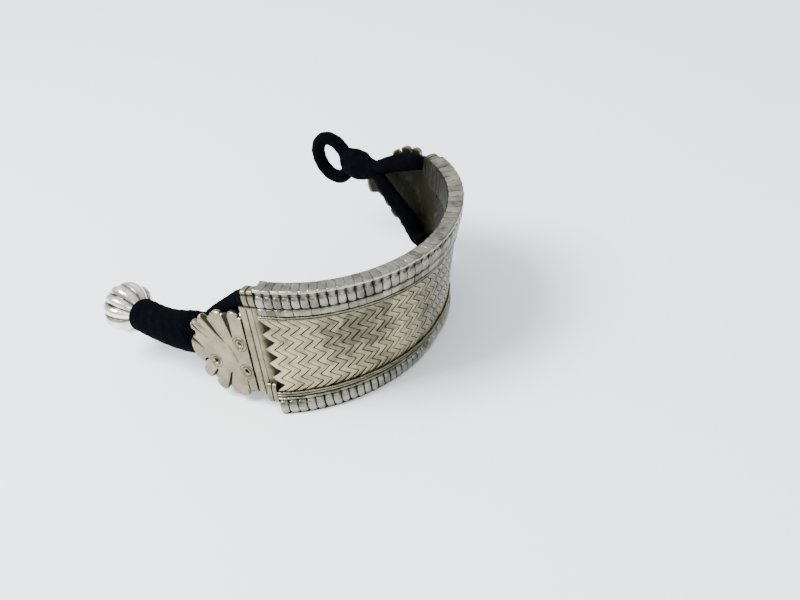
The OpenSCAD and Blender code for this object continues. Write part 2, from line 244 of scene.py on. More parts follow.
@dataclass
class Skin:
    """Points, faces and masks of one piece, gathered before its mesh is made.

    grime is 1 where dark residue and painted shade lie in a crevice or under a part, tarnish is 1 on the
    side turned to the wrist, painted dark for oxide and for painted shade, and tone runs from 0 to 1, from
    dull to bright: a random step from part to part, with painted highlight and painted shade in places.
    """

    points: list[np.ndarray] = field(default_factory=list)
    faces: list[tuple[int, ...]] = field(default_factory=list)
    residue_and_shade: list[np.ndarray] = field(default_factory=list)
    tarnish_and_shade: list[np.ndarray] = field(default_factory=list)
    tone: list[np.ndarray] = field(default_factory=list)
    count: int = 0

    def grid(
        self,
        points: np.ndarray,
        residue_and_shade: np.ndarray | float = 0.0,
        tarnish_and_shade: np.ndarray | float = 0.0,
        tone: np.ndarray | float = 0.5,
        ring: bool = False,
    ) -> None:
        """Adds closed rows of points joined by quads, with a face over the first and the last row.

        Args:
            points: Points by row and column, in millimetres.
            residue_and_shade: Mask of residue and painted shade in crevices, which fits the rows and columns.
            tarnish_and_shade: Mask of oxide and painted shade on the inner side, likewise.
            tone: Mask from dull to bright, with a random step, painted highlight and painted shade, likewise.
            ring: Whether the last row joins the first, in place of the two faces.
        """
        shape = points.shape[:2]
        index = self.count + np.arange(shape[0] * shape[1]).reshape(shape)
        low = index if ring else index[:-1]
        high = np.roll(index, -1, axis=0) if ring else index[1:]
        quads = np.stack([low, np.roll(low, -1, 1), np.roll(high, -1, 1), high], axis=-1)
        self.faces.extend(map(tuple, quads.reshape(-1, 4).tolist()))
        if not ring:
            self.faces.append(tuple(index[0][::-1].tolist()))
            self.faces.append(tuple(index[-1].tolist()))
        self.points.append(points.reshape(-1, 3))
        for masks, values in ((self.residue_and_shade, residue_and_shade), (self.tarnish_and_shade, tarnish_and_shade), (self.tone, tone)):
            masks.append(np.broadcast_to(values, shape).ravel())
        self.count += index.size

    def piece(self, name: str, angle: float) -> bpy.types.Object:
        """Makes the mesh object.

        Args:
            name: The piece's name.
            angle: Edges sharper than this many degrees stay sharp.

        Returns:
            The new object, in the scene.
        """
        mesh = bpy.data.meshes.new(name)
        mesh.from_pydata((np.concatenate(self.points) * MM).tolist(), [], self.faces)
        for mask, values in (("residue_and_shade", self.residue_and_shade), ("tarnish_and_shade", self.tarnish_and_shade), ("tone", self.tone)):
            layer = mesh.attributes.new(mask, "FLOAT", "POINT")
            layer.data.foreach_set("value", np.clip(np.concatenate(values), 0, 1).astype(np.float32))
        work = bmesh.new()
        work.from_mesh(mesh)
        bmesh.ops.recalc_face_normals(work, faces=work.faces)
        work.to_mesh(mesh)
        work.free()
        mesh.shade_smooth()
        mesh.set_sharp_from_angle(angle=math.radians(angle))
        made = bpy.data.objects.new(name, mesh)
        bpy.context.scene.collection.objects.link(made)
        return made

    def dress(self, node: str, make: str, angle: float, material: bpy.types.Material) -> None:
        """Makes the piece, named after the CAD node, gives it its material, rides it on the body and hides
        that node.

        Args:
            node: The CAD node that it replaces.
            make: How it is made, the last word of its name.
            angle: Edges sharper than this many degrees stay sharp.
            material: Its material.
        """
        piece = self.piece(f"{node}_{make}", angle)
        piece.data.materials.append(material)
        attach(piece, BODY)
        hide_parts(node)
        LOG.info("%s: %d faces", piece.name, len(piece.data.polygons))


class Nodes:
    """Short hand for placing and wiring shader nodes in one tree."""

    def __init__(self, tree: bpy.types.NodeTree) -> None:
        """Keeps the tree."""
        self.tree = tree

    def feed(self, target: bpy.types.NodeSocket, value: object) -> None:
        """Wires an input to a socket, or sets it to a value.

        Args:
            target: The input.
            value: A socket, a number, a colour or a vector.
        """
        if isinstance(value, bpy.types.NodeSocket):
            self.tree.links.new(value, target)
        else:
            target.default_value = value

    def fill(self, node: bpy.types.Node, inputs: dict[str, object]) -> None:
        """Feeds a node's inputs, each by its name."""
        for name, value in inputs.items():
            self.feed(node.inputs[name], value)

    def add(self, kind: str, inputs: dict[str, object] | None = None, **settings: object) -> bpy.types.Node:
        """Places a node.

        Args:
            kind: Its type.
            inputs: Sockets and values for its inputs, by name.
            settings: Attributes of the node.

        Returns:
            The node.
        """
        node = self.tree.nodes.new(kind)
        for name, value in settings.items():
            setattr(node, name, value)
        self.fill(node, inputs or {})
        return node

    def math(self, what: str, a: object, b: object, clamp: bool = False) -> bpy.types.NodeSocket:
        """Places a math node.

        Args:
            what: The operation.
            a: First socket or number.
            b: Second socket or number.
            clamp: Whether the result is held to 0 to 1.

        Returns:
            Its output socket.
        """
        node = self.add("ShaderNodeMath", operation=what, use_clamp=clamp)
        self.feed(node.inputs[0], a)
        self.feed(node.inputs[1], b)
        return node.outputs[0]

    def times(self, a: object, b: object) -> bpy.types.NodeSocket:
        """Product of two sockets or numbers."""
        return self.math("MULTIPLY", a, b)

    def plus(self, a: object, b: object, clamp: bool = False) -> bpy.types.NodeSocket:
        """Sum of two sockets or numbers, held to 0 to 1 where clamp is true."""
        return self.math("ADD", a, b, clamp)

    def mix(self, share: object, a: object, b: object) -> bpy.types.NodeSocket:
        """Mixes two colours, each a socket or a value.

        Args:
            share: How much of b shows.
            a: First colour.
            b: Second colour.

        Returns:
            The mixed colour's socket.
        """
        node = self.add("ShaderNodeMix", data_type="RGBA")
        for index, value in ((0, share), (6, a), (7, b)):
            self.feed(node.inputs[index], value)
        return node.outputs[2]

    def span(self, value: bpy.types.NodeSocket, ends: Pair) -> bpy.types.NodeSocket:
        """Stretches the span between two ends over 0 to 1 and clamps it."""
        inputs = {"Value": value, "From Min": ends[0], "From Max": ends[1]}
        return self.add("ShaderNodeMapRange", inputs, clamp=True).outputs[0]

    def place(self) -> bpy.types.NodeSocket:
        """The object's own coordinates."""
        return self.add("ShaderNodeTexCoord").outputs["Object"]

    def mask(self, name: str) -> bpy.types.NodeSocket:
        """One of the masks that the mesh carries."""
        return self.add("ShaderNodeAttribute", attribute_name=name).outputs["Fac"]

    def noise(
        self,
        place: bpy.types.NodeSocket,
        scale: object,
        detail: float = 3.0,
        stretch: Triple | None = None,
        turn: float = 0.0,
    ) -> bpy.types.NodeSocket:
        """Noise over the given coordinates.

        Args:
            place: The coordinates.
            scale: A socket or a number, in turns per metre.
            detail: How many octaves it has.
            stretch: How much it is squeezed along each axis.
            turn: How far it is turned, in radians, a little differently about each axis.

        Returns:
            The noise's socket, from 0 to 1.
        """
        if stretch is not None:
            turns = (turn, turn * 0.7, turn * 1.3)
            squeeze = self.add("ShaderNodeMapping", {"Vector": place, "Scale": stretch, "Rotation": turns})
            place = squeeze.outputs[0]
        inputs = {"Vector": place, "Scale": scale, "Detail": detail}
        return self.add("ShaderNodeTexNoise", inputs).outputs["Fac"]

    def relief(self, height: bpy.types.NodeSocket, strength: float, depth: float) -> bpy.types.NodeSocket:
        """Normal bent by a height, which stands out by depth metres where it is 1."""
        inputs = {"Height": height, "Strength": strength, "Distance": depth}
        return self.add("ShaderNodeBump", inputs).outputs["Normal"]


def new_group(
    name: str, takes: dict[str, object], gives: tuple[str, ...]
) -> tuple[bpy.types.NodeTree, Nodes, dict[str, bpy.types.NodeSocket], bpy.types.Node]:
    """Starts a shader node group.

    Args:
        name: Its name.
        takes: Input names with their default: a number, a colour or None for a vector.
        gives: Output names. Color is a colour, and the others are numbers.

    Returns:
        The group, its Nodes helper, what it is given by name, and its output node.
    """
    group = bpy.data.node_groups.new(name, "ShaderNodeTree")
    for label, value in takes.items():
        kind = "Vector" if value is None else "Float" if isinstance(value, float) else "Color"
        socket = group.interface.new_socket(label, in_out="INPUT", socket_type=f"NodeSocket{kind}")
        if value is not None:
            socket.default_value = value
    for label in gives:
        kind = "Color" if label == "Color" else "Float"
        group.interface.new_socket(label, in_out="OUTPUT", socket_type=f"NodeSocket{kind}")
    nodes = Nodes(group)
    given = {socket.name: socket for socket in nodes.add("NodeGroupInput").outputs}
    return group, nodes, given, nodes.add("NodeGroupOutput")


@dataclass(frozen=True)
class WearGroup:
    """Shader group of hand-worked silver: patches of tone, residue and painted shade in crevices, oxide and
    painted shade on the inner side, scratches and dents.

    Scales are in turns per metre, a span is the part of a noise or a mask that is stretched over 0 to 1,
    and a share or cover is how much of an effect shows at most.
    """

    patch_span: Pair = (0.36, 0.66)
    patch_share: float = 0.5
    crumb_scale: float = 2600.0
    crumb_share: float = 0.5
    dirt_span: Pair = (0.5, 0.95)
    dirt_cover: float = 0.95
    cloud_scale: float = 420.0
    cloud_share: float = 0.5
    dull_span: Pair = (0.3, 0.95)
    dull_cover: float = 0.97
    green_scale: float = 190.0
    green_span: Pair = (0.55, 0.68)
    green_share: float = 0.5
    # Scratches that run two ways: scale, stretch, turn and span
    scratches: tuple[tuple[float, Triple, float, Pair], ...] = (
        (900.0, (9.0, 1.0, 1.2), 0.5, (0.6, 0.72)),
        (800.0, (1.0, 1.4, 8.0), -0.4, (0.62, 0.74)),
    )
    scratch_depth: float = 0.35
    dent_scale: float = 700.0
    scratch_rough: float = 0.16
    patch_rough: float = 0.25
    dirt_rough: float = 0.3

    def build(self) -> bpy.types.NodeTree:
        """Builds the group.

        Returns:
            The group, with the outputs Color, Roughness and Height.
        """
        takes = {
            "Place": None,
            "Residue And Shade": 0.0,
            "Tarnish And Shade": 0.0,
            "Tone": 0.5,
            "Pale": (0.8, 0.8, 0.8, 1.0),
            "Shade": (0.6, 0.6, 0.6, 1.0),
            "Residue": (0.05, 0.05, 0.04, 1.0),
            "Tarnish Color": (0.1, 0.1, 0.06, 1.0),
            "Verdigris": (0.019, 0.025, 0.013, 1.0),
            "Patch Scale": 300.0,
            "Base Roughness": 0.5,
            "Scratch": 0.5,
            "Dents": 0.5,
        }
        group, nodes, given, out = new_group("silver_wear", takes, ("Color", "Roughness", "Height"))
        place = given["Place"]
        patches = nodes.noise(place, given["Patch Scale"], 4.0)
        mottle = nodes.times(nodes.span(patches, self.patch_span), self.patch_share)
        # Shade to Pale by the tone, with mottled patches: a random step, patchy wear, painted highlight and
        # painted shade
        worn = nodes.plus(given["Tone"], nodes.plus(mottle, -self.patch_share / 2), clamp=True)
        # Crevices darken to the residue colour: real residue and painted shade
        crumbs = nodes.times(nodes.noise(place, self.crumb_scale), self.crumb_share)
        dirt_and_shade = nodes.span(nodes.plus(given["Residue And Shade"], crumbs), self.dirt_span)
        # The inner side darkens to the oxide colour: real oxide and painted shade
        clouds = nodes.times(nodes.noise(place, self.cloud_scale), self.cloud_share)
        inner = nodes.span(nodes.plus(given["Tarnish And Shade"], clouds), self.dull_span)
        dulled_and_shaded = nodes.times(inner, self.dull_cover)
        green = nodes.span(nodes.noise(place, self.green_scale), self.green_span)
        tarnish_and_shade = nodes.mix(green, given["Tarnish Color"], given["Verdigris"])
        residue = nodes.mix(nodes.times(green, self.green_share), given["Residue"], given["Verdigris"])
        colour = nodes.mix(worn, given["Shade"], given["Pale"])
        colour = nodes.mix(dulled_and_shaded, colour, tarnish_and_shade)
        colour = nodes.mix(nodes.times(dirt_and_shade, self.dirt_cover), colour, residue)
        fine, cross = (
            nodes.span(nodes.noise(place, scale, 2.0, stretch, turn), span)
            for scale, stretch, turn, span in self.scratches
        )
        lines = nodes.times(nodes.math("MAXIMUM", fine, cross), given["Scratch"])
        dents = nodes.times(nodes.noise(place, self.dent_scale), given["Dents"])
        height = nodes.math("SUBTRACT", dents, nodes.times(lines, self.scratch_depth))
        rough = nodes.plus(given["Base Roughness"], nodes.times(lines, self.scratch_rough))
        rough = nodes.plus(rough, nodes.times(nodes.plus(patches, -0.5), self.patch_rough))
        foul = nodes.times(nodes.math("MAXIMUM", dirt_and_shade, dulled_and_shaded), self.dirt_rough)
        rough = nodes.plus(rough, foul, clamp=True)
        nodes.fill(out, {"Color": colour, "Roughness": rough, "Height": height})
        return group


@dataclass(frozen=True)
class FibreGroup:
    """Shader group of spun thread: painted highlight on the fibres of the crests, painted shade in the dips.
    """

    fibre_span: Pair = (0.35, 0.75)
    patch_scale: float = 350.0
    patch_span: Pair = (0.3, 0.75)

    def build(self) -> bpy.types.NodeTree:
        """Builds the group.

        Returns:
            The group, with the outputs Color and Height.
        """
        takes = {
            "Place": None,
            "Residue And Shade": 0.0,
            "Dark": (0.004, 0.005, 0.009, 1.0),
            "Lit": (0.02, 0.026, 0.045, 1.0),
            "Fibre Scale": 2500.0,
        }
        group, nodes, given, out = new_group("thread_fibre", takes, ("Color", "Height"))
        fibres = nodes.noise(given["Place"], given["Fibre Scale"], 4.0)
        patches = nodes.noise(given["Place"], self.patch_scale)
        # Painted highlight on the crests, painted shade in the dips between turns
        crest = nodes.math("SUBTRACT", 1.0, given["Residue And Shade"])
        lit = nodes.times(nodes.span(fibres, self.fibre_span), nodes.span(patches, self.patch_span))
        colour = nodes.mix(nodes.times(lit, crest), given["Dark"], given["Lit"])
        nodes.fill(out, {"Color": colour, "Height": fibres})
        return group


def start_material(name: str) -> tuple[bpy.types.Material, Nodes, bpy.types.Node]:
    """Makes a material with a Principled shader.

    Args:
        name: Its name.

    Returns:
        The material, its Nodes helper and the shader node.
    """
    material = bpy.data.materials.new(name)
    material.use_nodes = True
    return material, Nodes(material.node_tree), material.node_tree.nodes["Principled BSDF"]


@dataclass(frozen=True)
class SilverFinish:
    """One silver finish: its tones, how rough it is and how strongly it is marked."""

    name: str
    pale: Triple
    shade: Triple
    # Colour of residue and painted shade in crevices, then of oxide and painted shade on the inner side
    residue: Triple = (0.016, 0.014, 0.009)
    tarnish_and_shade: Triple = (0.009, 0.0075, 0.004)
    patch_scale: float = 320.0
    roughness: float = 0.3
    scratch: float = 0.6
    dents: float = 0.5
    relief: float = 0.00006

    def build(self, group: bpy.types.NodeTree) -> bpy.types.Material:
        """Makes the material.

        Args:
            group: The shared wear group.

        Returns:
            The material.
        """
        material, nodes, shader = start_material(self.name)
        inputs = {
            "Place": nodes.place(),
            "Residue And Shade": nodes.mask("residue_and_shade"),
            "Tarnish And Shade": nodes.mask("tarnish_and_shade"),
            "Tone": nodes.mask("tone"),
            "Pale": (*self.pale, 1.0),
            "Shade": (*self.shade, 1.0),
            "Residue": (*self.residue, 1.0),
            "Tarnish Color": (*self.tarnish_and_shade, 1.0),
            "Patch Scale": self.patch_scale,
            "Base Roughness": self.roughness,
            "Scratch": self.scratch,
            "Dents": self.dents,
        }
        wear = nodes.add("ShaderNodeGroup", inputs, node_tree=group)
        looks = {
            "Base Color": wear.outputs["Color"],
            "Metallic": 1.0,
            "Roughness": wear.outputs["Roughness"],
            "Normal": nodes.relief(wear.outputs["Height"], 1.0, self.relief),
        }
        nodes.fill(shader, looks)
        return material


@dataclass(frozen=True)
class ThreadFinish:
    """Dark wound thread."""

    name: str = "navy_black_thread"
    dark: Triple = (0.0004, 0.0005, 0.001)
    # Colour of the painted highlight on the crests of the thread
    lit: Triple = (0.0018, 0.0028, 0.008)
    fibre_scale: float = 2600.0
    relief: float = 0.00012
    strength: float = 0.8
    roughness: float = 0.85
    gloss: float = 0.02

    def build(self, group: bpy.types.NodeTree) -> bpy.types.Material:
        """Makes the material.

        Args:
            group: The shared fibre group.

        Returns:
            The material.
        """
        material, nodes, shader = start_material(self.name)
        # The mesh's mask carries the painted shade in the dips between turns
        inputs = {
            "Place": nodes.place(),
            "Residue And Shade": nodes.mask("residue_and_shade"),
            "Dark": (*self.dark, 1.0),
            "Lit": (*self.lit, 1.0),
            "Fibre Scale": self.fibre_scale,
        }
        fibre = nodes.add("ShaderNodeGroup", inputs, node_tree=group)
        looks = {
            "Base Color": fibre.outputs["Color"],
            "Roughness": self.roughness,
            "Specular IOR Level": self.gloss,
            "Normal": nodes.relief(fibre.outputs["Height"], self.strength, self.relief),
        }
        nodes.fill(shader, looks)
        return material


@dataclass(frozen=True)
class Finishes:
    """All the bracelet's materials."""

    links: bpy.types.Material
    weave: bpy.types.Material
    plate: bpy.types.Material
    wire: bpy.types.Material
    bead: bpy.types.Material
    thread: bpy.types.Material

    @classmethod
    def build(cls) -> "Finishes":
        """Builds each material once, from the two shared groups.

        Returns:
            The set of finishes.
        """
        wear = WearGroup().build()
        links = SilverFinish(
            "silver_links", (0.34, 0.325, 0.26), (0.08, 0.077, 0.06), roughness=0.27, dents=1.0, relief=0.0001
        )
        weave = SilverFinish(
            "silver_weave", (0.43, 0.37, 0.225), (0.085, 0.08, 0.055), roughness=0.28, scratch=1.0
        )
        plate = SilverFinish(
            "silver_plate", (0.32, 0.285, 0.185), (0.125, 0.115, 0.078), patch_scale=240.0, roughness=0.29,
            scratch=1.0, dents=0.8, relief=0.0001,
        )
        wire = SilverFinish("silver_wire", (0.25, 0.225, 0.15), (0.08, 0.075, 0.053), patch_scale=700.0)
        bead = SilverFinish(
            "silver_bead", (0.84, 0.8, 0.7), (0.16, 0.145, 0.115), (0.05, 0.04, 0.025), roughness=0.1,
            scratch=0.3, dents=1.0, relief=0.0001,
        )
        metals = [finish.build(wear) for finish in (links, weave, plate, wire, bead)]
        return cls(*metals, ThreadFinish().build(FibreGroup().build()))


@dataclass(frozen=True)
class LinkRow:
    """What sets one row of edge links apart.

    face holds distances from the edge and the face's depths there. oval is the middle and half height of
    the oval, bright the middle, reach and strength of the painted highlight band, and top how far the top
    is drawn in everywhere, at the sides and in waves. top_painted_shade is painted shade on the top where it
    faces the floor, and top_painted_light is painted light on it where it faces up.
    """

    seed: int
    points: int
    face: Rows
    oval: Pair
    corner: float
    bright: Triple
    top: Triple
    top_painted_shade: float
    top_painted_light: float


LINK_ROWS = {
    Edge.UPPER: LinkRow(
        seed=7,
        points=52,
        face=(
            (0.0, 0.55), (0.12, 0.3), (0.35, 0.14), (0.75, 0.1), (1.0, 0.4), (1.3, 0.85), (1.9, 0.8),
            (2.3, 0.6), (3.0, 0.42), (4.3, 0.4), (5.3, 0.5), (5.9, 0.85), (6.1, 1.0), (6.3, 0.62),
            (6.6, 0.46), (8.0, 0.46), (8.2, 0.7), (8.3, 1.3),
        ),
        oval=(4.1, 1.95),
        corner=1.0,
        bright=(0.5, 0.35, 1.0),
        top=(0.06, 0.16, 0.05),
        top_painted_shade=0.0,
        top_painted_light=0.3,
    ),
    Edge.LOWER: LinkRow(
        seed=8,
        points=38,
        face=(
            (0.0, 1.15), (0.15, 0.85), (0.6, 0.55), (1.4, 0.4), (2.4, 0.36), (3.4, 0.42), (4.1, 0.62),
            (4.4, 0.95), (4.7, 0.55), (5.3, 0.46), (5.5, 0.75), (5.6, 1.3),
        ),
        oval=(2.35, 2.15),
        corner=0.0,
        bright=(1.75, 1.2, 0.6),
        top=(0.0, 0.12, 0.0),
        top_painted_shade=0.7,
        top_painted_light=0.0,
    ),
}


@dataclass
class EdgeLinks:
    """One row of faceted edge links, each with a worn corner, an oval face and a small square.

    The slot is the painted shade in the groove under the corner: its middle, reach and how dark it is. The
    moat is the dip round the oval. Sides start at side_from of the half width, and drop everywhere and
    beside the oval. Widths are shares of the link's own half width.
    """

    edge: Edge
    count: int = 38
    pitch: float = 2.53
    even: int = 12
    thickness: float = 5.0
    fill: float = 0.9
    bow: float = 0.3
    slant: float = 0.035
    across: int = 15
    side_from: float = 0.72
    oval_rise: float = 0.36
    moat: float = 0.2
    side_drop: Pair = (0.08, 0.06)
    corner_wear: Pair = (0.16, 0.05)
    slot: Triple = (1.6, 0.45, 0.95)
    # Painted shade, with residue, at the sides between links and along the foot
    seam_dark: float = 0.6
    foot_dark: float = 0.7
    back_ease: float = 0.15
    face_width: Pair = (1.08, 0.03)
    back_width: float = 1.115
    # Tone: base, random step from link to link, and gain of the painted highlight
    tone_base: float = 0.35
    tone_step: float = 0.22
    highlight_gain: float = 0.7

    def link_start(self, i: int) -> float:
        """Where link i starts along the band; past the even ones they grow longer."""
        spread = (BAND.length - BAND.start - self.count * self.pitch) / (self.count - self.even) ** 2
        return BAND.start + i * self.pitch + spread * max(i - self.even, 0) ** 2

    def face(self, t: float, step: np.ndarray) -> tuple[np.ndarray, ...]:
        """Front of a link at one place across it.

        Args:
            t: From -1 to 1 across the link.
            step: Four small offsets that make each link a little different.

        Returns:
            Distances from the edge, depths, mask of residue and painted shade, the share of the width that it
            keeps and how much brighter the painted highlight makes it, from the edge down.
        """
        row = LINK_ROWS[self.edge]
        table = np.array(row.face)
        reach = table[-1, 0]
        # Points lie closer where the face has more relief
        v = reach * np.interp(np.linspace(0, 1, row.points), np.linspace(0, 1, 5), [0, 0.2, 0.45, 0.75, 1])
        middle, half = row.oval
        in_oval = smooth(half + 0.35, half, np.abs(v - middle))
        rho = abs(t) ** 2.4 + np.abs((v - middle) / half) ** 3.0
        depth = np.interp(v, table[:, 0], table[:, 1])
        depth -= self.oval_rise * np.sqrt(np.clip(1.0 - rho, 0.0, 1.0))
        depth += self.moat * np.clip(rho - 1.0, 0.0, 1.0) * in_oval
        depth += (self.side_drop[0] + self.side_drop[1] * in_oval) * smooth(self.side_from, 1.0, abs(t))
        corner = row.corner * bump(v, 0.5, 0.5)
        depth += corner * (self.corner_wear[0] * t * t + self.corner_wear[1] * step[2] * t)
        # Painted shade, with residue, in the slot under the corner, round the oval, at the sides and along
        # the foot
        slot, reach_slot, slot_dark = self.slot
        dark = row.corner * slot_dark * bump(v, slot, reach_slot) * (0.35 + 0.65 * t * t)
        dark = np.maximum(dark, smooth(1.05, 1.5, rho) * in_oval)
        dark = np.maximum(dark, self.seam_dark * smooth(0.96, 1.0, abs(t)))
        dark = np.maximum(dark, self.foot_dark * bump(v, reach, 0.2))
        # Painted highlight on the corner of the upper links and on the oval face of the lower ones
        bright = row.bright[2] * bump(v, row.bright[0], row.bright[1])
        return v, depth, dark, self.face_width[0] - self.face_width[1] * in_oval, bright

    def outline(self, t: float, step: np.ndarray) -> np.ndarray:
        """Cross-section of a link at one place across it.

        Args:
            t: From -1 to 1 across the link.
            step: Four small offsets that make each link a little different.

        Returns:
            Rows of distances from the edge, depths, mask of residue and painted shade, mask of oxide and
            painted shade, the share of the width that it keeps and how much brighter painted highlight and
            painted light make it, round the section.
        """
        row = LINK_ROWS[self.edge]
        v, depth, dark, width, bright = self.face(t, step)
        reach = v[-1]
        side = smooth(self.side_from, 1.0, abs(t))
        inner = self.thickness - self.back_ease * side
        under = np.linspace(1.5, inner - 0.5, 6)
        back = np.array([reach - 0.1, reach - 0.4, *np.linspace(reach - 1.2, 1.2, 6), 0.5, 0.15])
        far = np.full(10, inner)
        far[[0, -1]] -= self.back_ease
        top = np.linspace(inner - 0.5, 0.75, 12)
        drawn = row.top[0] + row.top[1] * side + wave(top, row.top[2], 2.1, step[3] * 3.0)
        # Painted shade under the face and on the back, with oxide on the back; the top strip gets painted
        # light or painted shade from its row
        strips = (
            (v, depth, dark, 0.0, width, bright),
            (reach, under, 1.0, 0.6, self.back_width, 0.0),
            (back, far, 0.5 * side, 1.0, self.back_width, 0.0),
            (drawn, top, 0.55 * side, row.top_painted_shade, self.back_width, row.top_painted_light),
        )
        return np.concatenate([np.stack(np.broadcast_arrays(*strip)) for strip in strips], axis=1)

    def build(self, finishes: Finishes) -> None:
        """Builds the row and dresses it.

        Args:
            finishes: The bracelet's materials.
        """
        rng = np.random.default_rng(LINK_ROWS[self.edge].seed)
        skin = Skin()
        sweep = np.sin(math.pi / 2 * np.linspace(-1, 1, self.across))
        for i in range(self.count):
            start, end = self.link_start(i), self.link_start(i + 1)
            middle, half = (start + end) / 2, (end - start) * self.fill / 2
            step = rng.uniform(-1, 1, 4)
            sections = np.stack([self.outline(float(t), step) for t in sweep], axis=1)
            v, depth, residue_and_shade, tarnish_and_shade, width, bright = sections
            depth = depth + 0.05 * step[0]
            bow = self.bow * np.sin(math.pi * np.clip(depth / self.thickness, 0.0, 1.0)) * smooth(2.0, 0.0, v)
            slant = self.slant * step[1] * (v - 4.0) * smooth(2.5, 0.8, depth)
            s = middle + sweep[:, None] * half * width + (slant + bow)
            z = BAND.height - v if self.edge is Edge.UPPER else v
            # A random step from link to link plus the painted highlight
            tone = self.tone_base + self.tone_step * step[2] + self.highlight_gain * bright
            skin.grid(BAND.at(s, depth, z), residue_and_shade, tarnish_and_shade, tone)
        skin.dress(f"{self.edge.value}_edge_links", "worked", 50.0, finishes.links)


@dataclass
class Weave:
    """The field of zigzag links between the border wires.

    The hem is the straight piece past the first and the last bend, behind the border wires. Below
    clear_below the links keep off the corner blocks of the caps.
    """

    seed: int = 11
    count: int = 38
    periods: int = 5
    per_step: int = 6
    reach: float = 3.2
    gap: float = 0.2
    lap: float = 0.16
    face: float = 1.2
    back: float = 3.9
    low: float = 7.0
    high: float = 30.3
    hem_low: float = 5.8
    hem_high: float = 31.9
    hem_rows: Pair = (0.6, 0.8)
    overhang: float = 0.8
    plate_back: float = 2.0
    thinnest: float = 0.05
    clear_below: float = 9.9
    lift: float = 0.04
    wander: float = 0.05
    bend_dip: float = 0.07
    tone_base: float = 0.38
    tone_step: float = 0.14
    # Across the face: share of the half width, extra depth, mask of residue and painted shade
    across_face: Rows = (
        (-1.0, 0.62, 1.0), (-1.0, 0.2, 1.0), (-0.96, 0.06, 0.7), (-0.86, 0.0, 0.1), (-0.5, -0.05, 0.0),
        (0.0, -0.06, 0.0), (0.5, -0.02, 0.0), (0.86, 0.06, 0.1), (0.95, 0.12, 0.75), (1.0, 0.26, 1.0),
        (1.0, 0.62, 1.0),
    )
    # Across the back: share of the half width, extra depth, mask of residue and painted shade
    across_back: Rows = (
        (1.0, -0.15, 0.9), (0.88, 0.0, 0.1), (0.0, 0.08, 0.0), (-0.88, 0.0, 0.1), (-1.0, -0.15, 0.9),
    )
    # Mask of residue and painted shade down the outer side of the first link, low where the light reaches it
    open_side: Triple = (0.7, 0.0, 0.0)
    # Painted light and painted shade over areas of the field: place along the band, height, their reaches and
    # how bright
    areas: Rows = (
        (0.5, 14.0, 4.0, 10.0, 0.55), (10.0, 13.0, 7.0, 9.0, 0.12), (24.0, 24.0, 11.0, 7.0, -0.45),
        (34.0, 27.0, 4.0, 6.0, -0.2), (42.0, 14.0, 9.0, 7.0, 0.5), (62.0, 22.0, 9.0, 9.0, -0.15),
        (84.0, 14.0, 12.0, 8.0, 0.25),
    )

    def tone(self, s: np.ndarray, z: np.ndarray) -> np.ndarray:
        """How bright the field is painted at each place: painted light and painted shade over its areas."""
        areas = (rise * bump(s, s0, ds) * bump(z, z0, dz) for s0, z0, ds, dz, rise in self.areas)
        return self.tone_base + sum(areas)

    def course(self) -> tuple[np.ndarray, np.ndarray, np.ndarray, np.ndarray]:
        """Course of a link from the lower hem to the upper one.

        Returns:
            Heights of its bends, and of each row the height, the swing along the band and how near a
            bend it is.
        """
        steps = 2 * self.periods
        corner_z = np.linspace(self.low, self.high, steps + 1)
        corner_s = (np.arange(steps + 1) % 2 - 0.5) * self.reach
        z = np.linspace(self.low, self.high, steps * self.per_step + 1)
        swing = np.interp(z, corner_z, corner_s)
        lower = [self.hem_low, self.hem_low + self.hem_rows[0]]
        upper = [self.hem_high - self.hem_rows[1], self.hem_high]
        z = np.concatenate([lower, z, upper])
        swing = np.concatenate([[corner_s[0]] * 2, swing, [corner_s[-1]] * 2])
        bend = np.abs(((z - self.low) / (self.high - self.low) * steps) % 1.0 - 0.5) * 2.0
        return corner_z, z, swing, bend

    def build(self, finishes: Finishes) -> None:
        """Builds the links and dresses them.

        Args:
            finishes: The bracelet's materials.
        """
        rng = np.random.default_rng(self.seed)
        corner_z, z, swing, bend = self.course()
        first = BAND.start - self.overhang + self.reach / 2
        pitch = (BAND.length + self.overhang - self.reach / 2 - first) / self.count
        half = (pitch - self.gap) / 2
        share, dip, crevice = np.array(self.across_face).T
        share_back, dip_back, seam = np.array(self.across_back).T
        # The back, turned to the wrist, is painted dark: oxide and painted shade
        tarnish_and_shade = np.concatenate([np.zeros(len(share)), np.ones(len(seam))])
        skin = Skin()
        for i in range(self.count):
            outermost = i in (0, self.count - 1)
            back = self.plate_back if outermost else self.back
            lift = rng.uniform(-self.lift, self.lift)
            wander = self.wander * np.interp(z, corner_z, rng.uniform(-1, 1, len(corner_z)))
            middle = first + (i + 0.5) * pitch + (swing + wander)[:, None]
            s = np.concatenate([middle + share * half, middle + share_back * (half + self.lap)], axis=1)
            s = np.where((z < self.clear_below)[:, None], np.clip(s, BAND.start, BAND.length), s)
            depth = self.face + lift + dip + self.bend_dip * (bend**2)[:, None]
            depth_back = np.broadcast_to(back + dip_back * (not outermost), (len(z), len(seam)))
            depth = np.concatenate([np.minimum(depth, back - self.thinnest), depth_back], axis=1)
            residue_and_shade = np.concatenate([crevice, seam])
            if i == 0:
                residue_and_shade[:3] = self.open_side
            # Painted light and painted shade over areas, plus a random step from link to link
            tone = self.tone(s, z[:, None]) + rng.uniform(-self.tone_step, self.tone_step)
            skin.grid(BAND.at(s, depth, z[:, None]), residue_and_shade, tarnish_and_shade, tone)
        skin.dress("woven_links", "worked", 30.0, finishes.weave)


